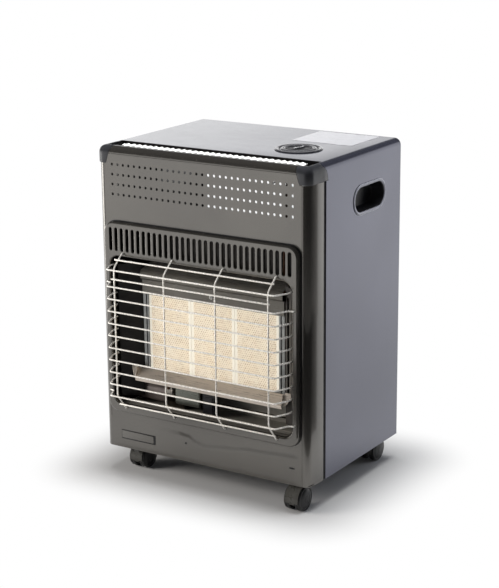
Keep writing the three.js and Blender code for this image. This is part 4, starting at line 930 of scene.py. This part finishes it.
def knob_bezel():
    """The stepped ring round the knob, with dark lines in it."""
    z = TOP + 0.4
    rise = [
        (24.2, 0.0), (39.6, 0.0), (40.2, 0.2), (40.4, 0.6), (40.0, 1.3), (38.9, 1.8), (37.2, 1.9),
        (35.6, 1.7), (34.6, 1.1), (34.2, 0.5), (33.6, 0.35), (31.6, 0.35), (31.0, 0.5), (30.6, 1.1),
        (30.0, 1.7), (29.0, 2.1), (27.6, 2.3), (26.8, 2.2), (26.4, 1.5), (26.0, 1.4), (25.4, 1.5),
        (25.0, 2.2), (24.2, 2.45), (23.2, 2.2), (22.5, 1.2), (22.4, 0.2),
    ]  # fmt: skip
    floor = TOP - 14.8
    profile = [(23.2, TOP - 15.6), (24.1, TOP - 15.0)] + [(r, z + h) for r, h in rise]
    profile += [(22.4, floor), (6.0, floor)]
    for number, (low, high, top) in enumerate(((39.3, 40.45, 0.75), (32.0, 33.5, 1.0), (25.3, 26.2, 2.0))):
        line = [(low, 0.0), (low, top - 0.15), (low + 0.2, top)]
        line += [(high - 0.2, top), (high, top - 0.15), (high, 0.0)]
        groove = Build()
        lathe(groove, [(r, z + h) for r, h in line], on_knob)
        groove.piece("bezel_line_%d" % (number + 1), BLACK, "black_plastic", sharp=40.0)
    build = Build()
    lathe(build, profile, on_knob)
    build.piece("knob_bezel_fine", BEZEL, "black_plastic", ("knob_bezel",), sharp=45.0)


def knob():
    """The turned knob with its fine grip, a dished face and an S-shaped ridge with a pale inlay."""
    low = TOP - 8.3
    high = TOP + 2.4
    face_r = 19.4
    sides = 96
    turns = [2 * math.pi * i / sides for i in range(sides)]
    flank = [(face_r, low), (20.6, low + 0.4), (KNOB_R, low + 1.2)]
    flank += [(KNOB_R, high - 1.6), (20.8, high - 0.8), (20.2, high - 0.2), (face_r, high)]
    rings = []
    for r, h in flank:
        gripped = low + 1 < h < high - 0.5
        radii = [r - (0.35 * max(0.0, math.cos(24 * a)) if gripped else 0.0) for a in turns]
        rings.append([on_knob(q * math.cos(a), q * math.sin(a), h) for q, a in zip(radii, turns)])

    def top(r, a):
        u, v = r * math.sin(a), r * math.cos(a)
        across = abs(v - grip_bend(u))
        length = 1 - ease((abs(u) - 13.5) / 3.0)
        ridge = (1 - ease((across - 1.9) / 1.9)) * length
        return high - 0.7 - 0.54 * (1 - (r / face_r) ** 2) + 2.1 * ridge

    for k in range(1, 25):
        r = 19.0 * (1 - k / 24.5) + 0.01
        rings.append([on_knob(r * math.cos(a), r * math.sin(a), top(r, a)) for a in turns])
    cap = Build()
    cap.loft(rings, ends=(True, True))
    section = [(-1.0, -0.7), (-1.0, 0.02), (-0.75, 0.26), (0.0, 0.34), (0.75, 0.26), (1.0, 0.02), (1.0, -0.7)]
    rings = []
    for i in range(41):
        u = -14.6 + 29.2 * i / 40
        r = abs(u)
        ridge = high + 0.86 + 0.54 * (r / face_r) ** 2 - 2.1 * ease((r - 13.5) / 3.0)
        half = 1.7 * (1 - ease((r - 12.6) / 2.0) * 0.9)
        rings.append([on_knob(grip_bend(u) + half * a, u, ridge - 0.2 + h) for a, h in section])
    body = "control_knob_body"
    lofted("knob_inlay", GRIP, "black_plastic", rings, body=body, sharp=50.0)
    cap.piece("control_knob_fine", BLACK, "black_plastic", ("control_knob",), body, 50.0)


def handle(sign, name):
    """A recessed handle cup with its rim, which is painted pale as a highlight. Sections are an inset and a
    depth out of the side.
    """

    def walls(section, grow=0.0):
        rings = []
        for inset, out in section:
            i = inset - grow
            outline = rounded(142 + i, 255 - i, BASE + 430.5 + i, BASE + 483.5 - i, 26.49 - i, 16)
            rings.append([(sign * (HALF + out), y, z) for y, z in outline])
        return rings

    inside = [
        (3.6, -2.2), (3.6, 0.1), (0.2, 0.25), (0.0, 0.6), (0.3, 0.95), (1.1, 1.3), (2.2, 1.45), (3.4, 1.3),
        (4.4, 0.85), (5.2, 0.2), (5.6, -1.4), (6.0, -4.0), (6.9, -22.0), (8.2, -23.9), (10.5, -24.5),
        (25.8, -24.5),
    ]  # fmt: skip
    outside = [(5.9, -2.2), (6.0, -2.4), (7.2, -22.5), (9.0, -25.6), (25.8, -25.9)]
    build = Build()
    build.loft(walls(inside), ends=(False, True))
    build.loft(walls(outside, 2.4), ends=(False, True))
    build.piece(name + "_fine", BLACK, "black_plastic", (name,), sharp=40.0)
    band = [(5.3, 0.4), (4.9, 0.9), (3.9, 1.45), (2.4, 1.7), (1.2, 1.55), (0.35, 1.15), (0.02, 0.7)]
    rim = Build()
    rim.loft(walls(band))
    rim.piece(name + "_rim", RIM_PAINTED_HIGHLIGHT, "black_plastic", sharp=60.0)


# ------ castors


def castors():
    """Twin wheels with a grooved tread and a domed hub, beside their housings."""
    profile = [
        (2.56, 5.2), (8.0, 5.0), (19.4, 5.0), (20.6, 5.3), (WHEEL_R, 6.2), (WHEEL_R, 9.4), (20.75, 9.9),
        (20.75, 10.5), (WHEEL_R, 11.0), (WHEEL_R, 14.0), (20.7, 15.0), (20.0, 15.6), (18.9, 15.9),
        (18.3, 15.7), (17.9, 15.4), (17.3, 15.5), (16.6, 16.2), (14.0, 17.2), (10.5, 18.0), (8.2, 18.3),
        (7.7, 18.0), (7.2, 18.1), (6.4, 18.45), (0.02, 18.6),
    ]  # fmt: skip
    for place, (x, y, turn) in CASTORS.items():
        for letter, side in (("a", turn), ("b", -turn)):
            build = Build()
            hub = y + turn * WHEEL_TRAIL
            lathe(build, profile, lambda a, b, h: (x + side * h, hub + a, WHEEL_R + b), 56)
            wheel = "wheel_%s_%s" % (letter, place)
            build.piece(wheel + "_fine", TREAD, "castor_tread", ("castor_" + wheel,), wheel, 38.0)
        refined("castor_housing_" + place, CASTOR_BLACK, 0.45)
        refined("castor_axle_" + place, SCREW)


# ------ burner pieces and small parts


def burner_details():
    """Plain sheets round the burner: reflector ears, left side, cavity back and the pilot's shield."""
    ear = [(149.8, 196.5), (165.0, 196.0), (157.0, 178.5), (149.8, 172.5)]
    for sign, name in ((-1, "reflector_ear_left"), (1, "reflector_ear_right")):
        front = [(sign * x, 21.0 - 0.3 * (196 - z), z) for x, z in ear]
        back = [(x, y + 1.0, z) for x, y, z in front]
        lofted(name, REFLECTOR, "bright_steel", [front, back], bevel=0.2)
    # The left reflector is painted darker than the right one, as painted shade.
    plan = [(-179.0, 8.6), (-176.4, 9.4), (-147.6, 31.0), (-145.2, 33.0)]
    plan += [(-146.0, 34.0), (-148.4, 32.0), (-177.0, 10.6), (-179.0, 9.8)]
    rings = [[(x, y, z) for x, y in plan] for z in (138.2, 376.8)]
    lofted("side_reflector_left_fine", PAINTED_SHADE_STEEL, "dark_steel", rings, ("side_reflector_left",))
    section = [(76.0, 131.0), (77.0, 133.0), (79.0, 176.0), (79.6, 178.5)]
    section += [(80.8, 178.5), (80.2, 176.0), (78.2, 133.0), (77.4, 131.0)]
    rings = [[(x, y, z) for y, z in section] for x in (-177.0, 177.0)]
    lofted("cavity_back", TRAY_STEEL, "bright_steel", rings)
    line = [(-76.0, 44.0), (-76.0, 27.0), (-74.0, 25.0), (-26.0, 25.0), (-24.0, 27.0), (-24.0, 40.0)]
    line += [(-25.0, 40.0), (-25.0, 27.4), (-26.4, 26.0), (-73.6, 26.0), (-75.0, 27.4), (-75.0, 44.0)]
    rings = [[(x, y + pull, z) for x, y in line] for z, pull in ((136.4, 0.0), (166.0, 0.0), (168.0, 0.6))]
    lofted("pilot_shield", SHIELD_STEEL, "bright_steel", rings, bevel=0.2)


def top_plate():
    """The pale rectangle on the top, left bare."""
    build = Build()
    plate = filled(rounded(55, 173, 202, 302, 2.5, 5), [], 0.3, 0.1)
    build.take(plate, lambda u, v, w: (u, v, TOP + 0.15 + w))
    build.piece("top_plate_bare", PLATE, "cabinet_paint")


def screws():
    screw("hood_screw", (0, 30.2, BASE + 292), (0, -1, 0), 3.6, 1.7)
    places = [(x, z) for z in (90, 330, 540) for x in (-203, 203)] + [(-80, 577), (80, 577)]
    for k, (x, z) in enumerate(places):
        screw("rear_screw_%d" % (k + 1), (x, DEPTH - 1.0, z), (0, 1, 0), 3.2, 1.6)


# ------ floor, background and lamps


def staged(name, points, faces, material, mirror_only=False):
    """A mesh of the studio in metres, which isn't part of the object."""
    mesh = bpy.data.meshes.new(name)
    mesh.from_pydata(points, [], faces)
    mesh.materials.append(material)
    made = add(name, mesh)
    if mirror_only:
        made.visible_camera = False
        made.visible_shadow = False
        made.visible_diffuse = False


def floor():
    """Near the object it shows its cast shadow and a painted shadow, as the floor there is grey round the
    footprint; from 16 cm out it is white. Mirrors see it brighten with distance.
    """
    f = Finish("studio_floor", (0.42, 0.42, 0.42, 1), 0.0, 0.9)
    f.set("Specular IOR Level", 0.0)
    seen, mirror, _ = f.rays()
    # How far a point of the floor lies outside the cabinet's footprint, and from the origin.
    foot_half, foot_y, foot_depth = 0.2, 0.02, 0.145
    beside = f.maths("MAXIMUM", f.maths("SUBTRACT", f.maths("ABSOLUTE", f.axis("X")), foot_half), 0.0)
    along = f.maths("ABSOLUTE", f.maths("SUBTRACT", f.axis("Y"), foot_y))
    before = f.maths("MAXIMUM", f.maths("SUBTRACT", along, foot_depth), 0.0)
    square = f.maths("ADD", f.maths("MULTIPLY", beside, beside), f.maths("MULTIPLY", before, before))
    outside = f.maths("SQRT", square)
    away = f.new("ShaderNodeVectorMath", {0: f.coords}, operation="LENGTH").outputs["Value"]
    strength = f.choose(mirror, 1.0, f.ramp(away, 0.3, 2.1, 0.9, 1.22, "SMOOTHSTEP"))
    glow = f.new("ShaderNodeEmission", {"Color": (1, 1, 1, 1), "Strength": strength})
    # Painted shadow: camera rays see the grey floor within 16 cm of the footprint, a darker halo round it, and
    # white further out.
    white = f.ramp(outside, 0.0, 0.16, kind="SMOOTHSTEP")
    white_mirror = f.ramp(away, 0.22, 0.42, kind="SMOOTHSTEP")
    share = f.maths("MULTIPLY", f.choose(mirror, white, white_mirror), seen)
    f.blend(share, f.shader.outputs["BSDF"], glow.outputs["Emission"], "Material Output")
    size = 40.0
    corners = [(size * x, size * y, 0) for x, y in ((-1, -1), (1, -1), (1, 1), (-1, 1))]
    staged("floor", corners, [(0, 1, 2, 3)], f.mat)


def background():
    """White to the camera. Mirrors see a pale wall, lower at the front, that fades to a dim ceiling."""
    world = bpy.data.worlds.new("studio")
    bpy.context.scene.world = world
    world.use_nodes = True
    g = Graph(world.node_tree)
    soft = g.tree.nodes["Background"]
    g.feed(soft.inputs["Color"], (0.92, 0.95, 1.0, 1))
    g.feed(soft.inputs["Strength"], 0.24)
    seen, _, camera_ray = g.rays()
    sky = g.new("ShaderNodeTexCoord").outputs["Generated"]
    split = g.new("ShaderNodeSeparateXYZ", {0: sky})
    lowered = g.ramp(split.outputs["Y"], -0.2, 0.2, 0.24, 0.0)
    height = g.maths("ADD", split.outputs["Z"], lowered)
    wall = g.ramp(height, 0.195, 0.38, 1.0, 0.06, "SMOOTHSTEP")
    strength = g.maths("MAXIMUM", wall, camera_ray)
    white = g.new("ShaderNodeBackground", {"Color": (1, 1, 1, 1), "Strength": strength})
    g.blend(seen, soft.outputs["Background"], white.outputs["Background"], "World Output")


def lamp(name, place, aim, size, power, colour=(1, 1, 1), mirrored=False):
    data = bpy.data.lights.new(name, "AREA")
    data.shape = "RECTANGLE"
    data.size, data.size_y = size
    data.energy = power
    data.color = colour
    made = add(name, data)
    made.location = place
    made.rotation_euler = (Vector(aim) - Vector(place)).to_track_quat("-Z", "Y").to_euler()
    made.visible_camera = False
    made.visible_glossy = mirrored


def lamps():
    lamp("key", (-1.7, -1.5, 1.0), (0, 0, 0.35), (1.0, 0.9), 60.0, (1.0, 0.955, 0.91))
    lamp("left_strip", (-1.15, -0.5, 0.24), (0, 0, 0.24), (0.4, 0.46), 3.0, (1.0, 0.98, 0.95), mirrored=True)
    lamp("side_window", (1.5, 1.9, 0.75), (0, 0, 0.3), (1.6, 1.3), 22.0, (0.86, 0.9, 1.0))
    lamp("overhead", (0.15, 0.15, 2.2), (0, 0, 0.3), (1.2, 1.2), 58.0)


def dark_card(name, radius, start, end, top, material):
    """A curved black card that only mirror rays see; it draws the dark bands on the rolled corners."""
    points = []
    for x, y in arc(0, 0, radius, start, end, 8):
        points += [(x, y, 0.0), (x, y, top)]
    faces = [(2 * i, 2 * i + 2, 2 * i + 3, 2 * i + 1) for i in range(8)]
    staged(name, points, faces, material, mirror_only=True)


def cards():
    black = Finish("dark_card", (0.004, 0.004, 0.004, 1)).mat
    dark_card("dark_card", 1.25, -96, 40, 1.3, black)
    dark_card("low_card", 0.5, -80, 22, 0.23, black)
    dark_card("front_card", 0.52, -120, -80, 0.13, black)


def camera():
    data = bpy.data.cameras.new("camera")
    data.sensor_width = 36.0
    data.lens = 101.6
    data.clip_end = 100.0
    made = add("camera", data)
    place = (1.501, -2.346, 1.089)
    yaw, pitch, roll = math.radians(32.44), math.radians(15.47), math.radians(-0.54)
    level = math.cos(pitch)
    forward = Vector((-math.sin(yaw) * level, math.cos(yaw) * level, -math.sin(pitch)))
    right = Vector((math.cos(yaw), math.sin(yaw), 0))
    up = right.cross(forward)
    across = right * math.cos(roll) + up * math.sin(roll)
    above = up * math.cos(roll) - right * math.sin(roll)
    turn = Matrix((across, above, -forward)).transposed().to_4x4()
    made.matrix_world = Matrix.Translation(place) @ turn
    bpy.context.scene.camera = made
    bpy.context.scene.view_settings.view_transform = "Standard"


# ------ assembly

camera()
front_panel()
vent_teeth()
vent_pleats()
for sign, side in ((-1, "left"), (1, "right")):
    corner_cap(sign, "corner_cap_" + side)
    handle(sign, "handle_cup_" + side)
    seam_shadow_strip(sign, "seam_shadow_strip_" + side)
surround()
surround_shadow_gap()
guard()
knob_bezel()
knob()
castors()
top_plate()
badge_place()
small_marks()
burner_details()
screws()

darken_inside(refined("cabinet_wrap", PAINT_WRAP, 0.3), SHADED_INSIDE)
for node, material, slot_name, bevel in (
    ("rear_cover", PAINT_WRAP, "cabinet_paint", 0.25),
    # The vent comb is painted near-black as painted shade.
    ("vent_comb", PAINTED_SHADE_STEEL, "bright_steel", 0.1),
    ("burner_hood", HOOD_STEEL, "bright_steel", 0.2),
    ("lower_reflector", REFLECTOR, "bright_steel", 0.15),
    ("cavity_tray", TRAY_STEEL, "bright_steel", 0.15),
    ("burner_housing", ZINC, "zinc_sheet", 0.3),
):
    refined(node, material, bevel)
for number in (1, 2, 3):
    refined("ceramic_plaque_%d" % number, CERAMIC, 0.5)
for material, slot_name, group in (
    (DARK_STEEL, "dark_steel", ("side_reflector_right", "base_tray", "heat_shield")),
    (TUBE_STEEL, "zinc_sheet", ("mixing_tube",)),
    (ZINC, "zinc_sheet", ("valve_bracket",)),
    (BRIGHT, "bright_steel", ("pilot_burner",)),
    (BRASS, "brass_body", ("injector", "gas_valve", "hose_inlet", "valve_spindle")),
    (COPPER, "copper_pipe", ("burner_pipe", "pilot_pipe", "thermocouple")),
    (WHITE_CERAMIC, "plaque_ceramic", ("spark_electrode",)),
    (LEAD_AND_SEAM_SHADOW, "lead_rubber", ("ignition_lead",)),
    (BLACK, "black_plastic", ("piezo_igniter", "tilt_switch")),
):
    for node in group:
        refined(node, material, sharp=40.0)

floor()
background()
lamps()
cards()
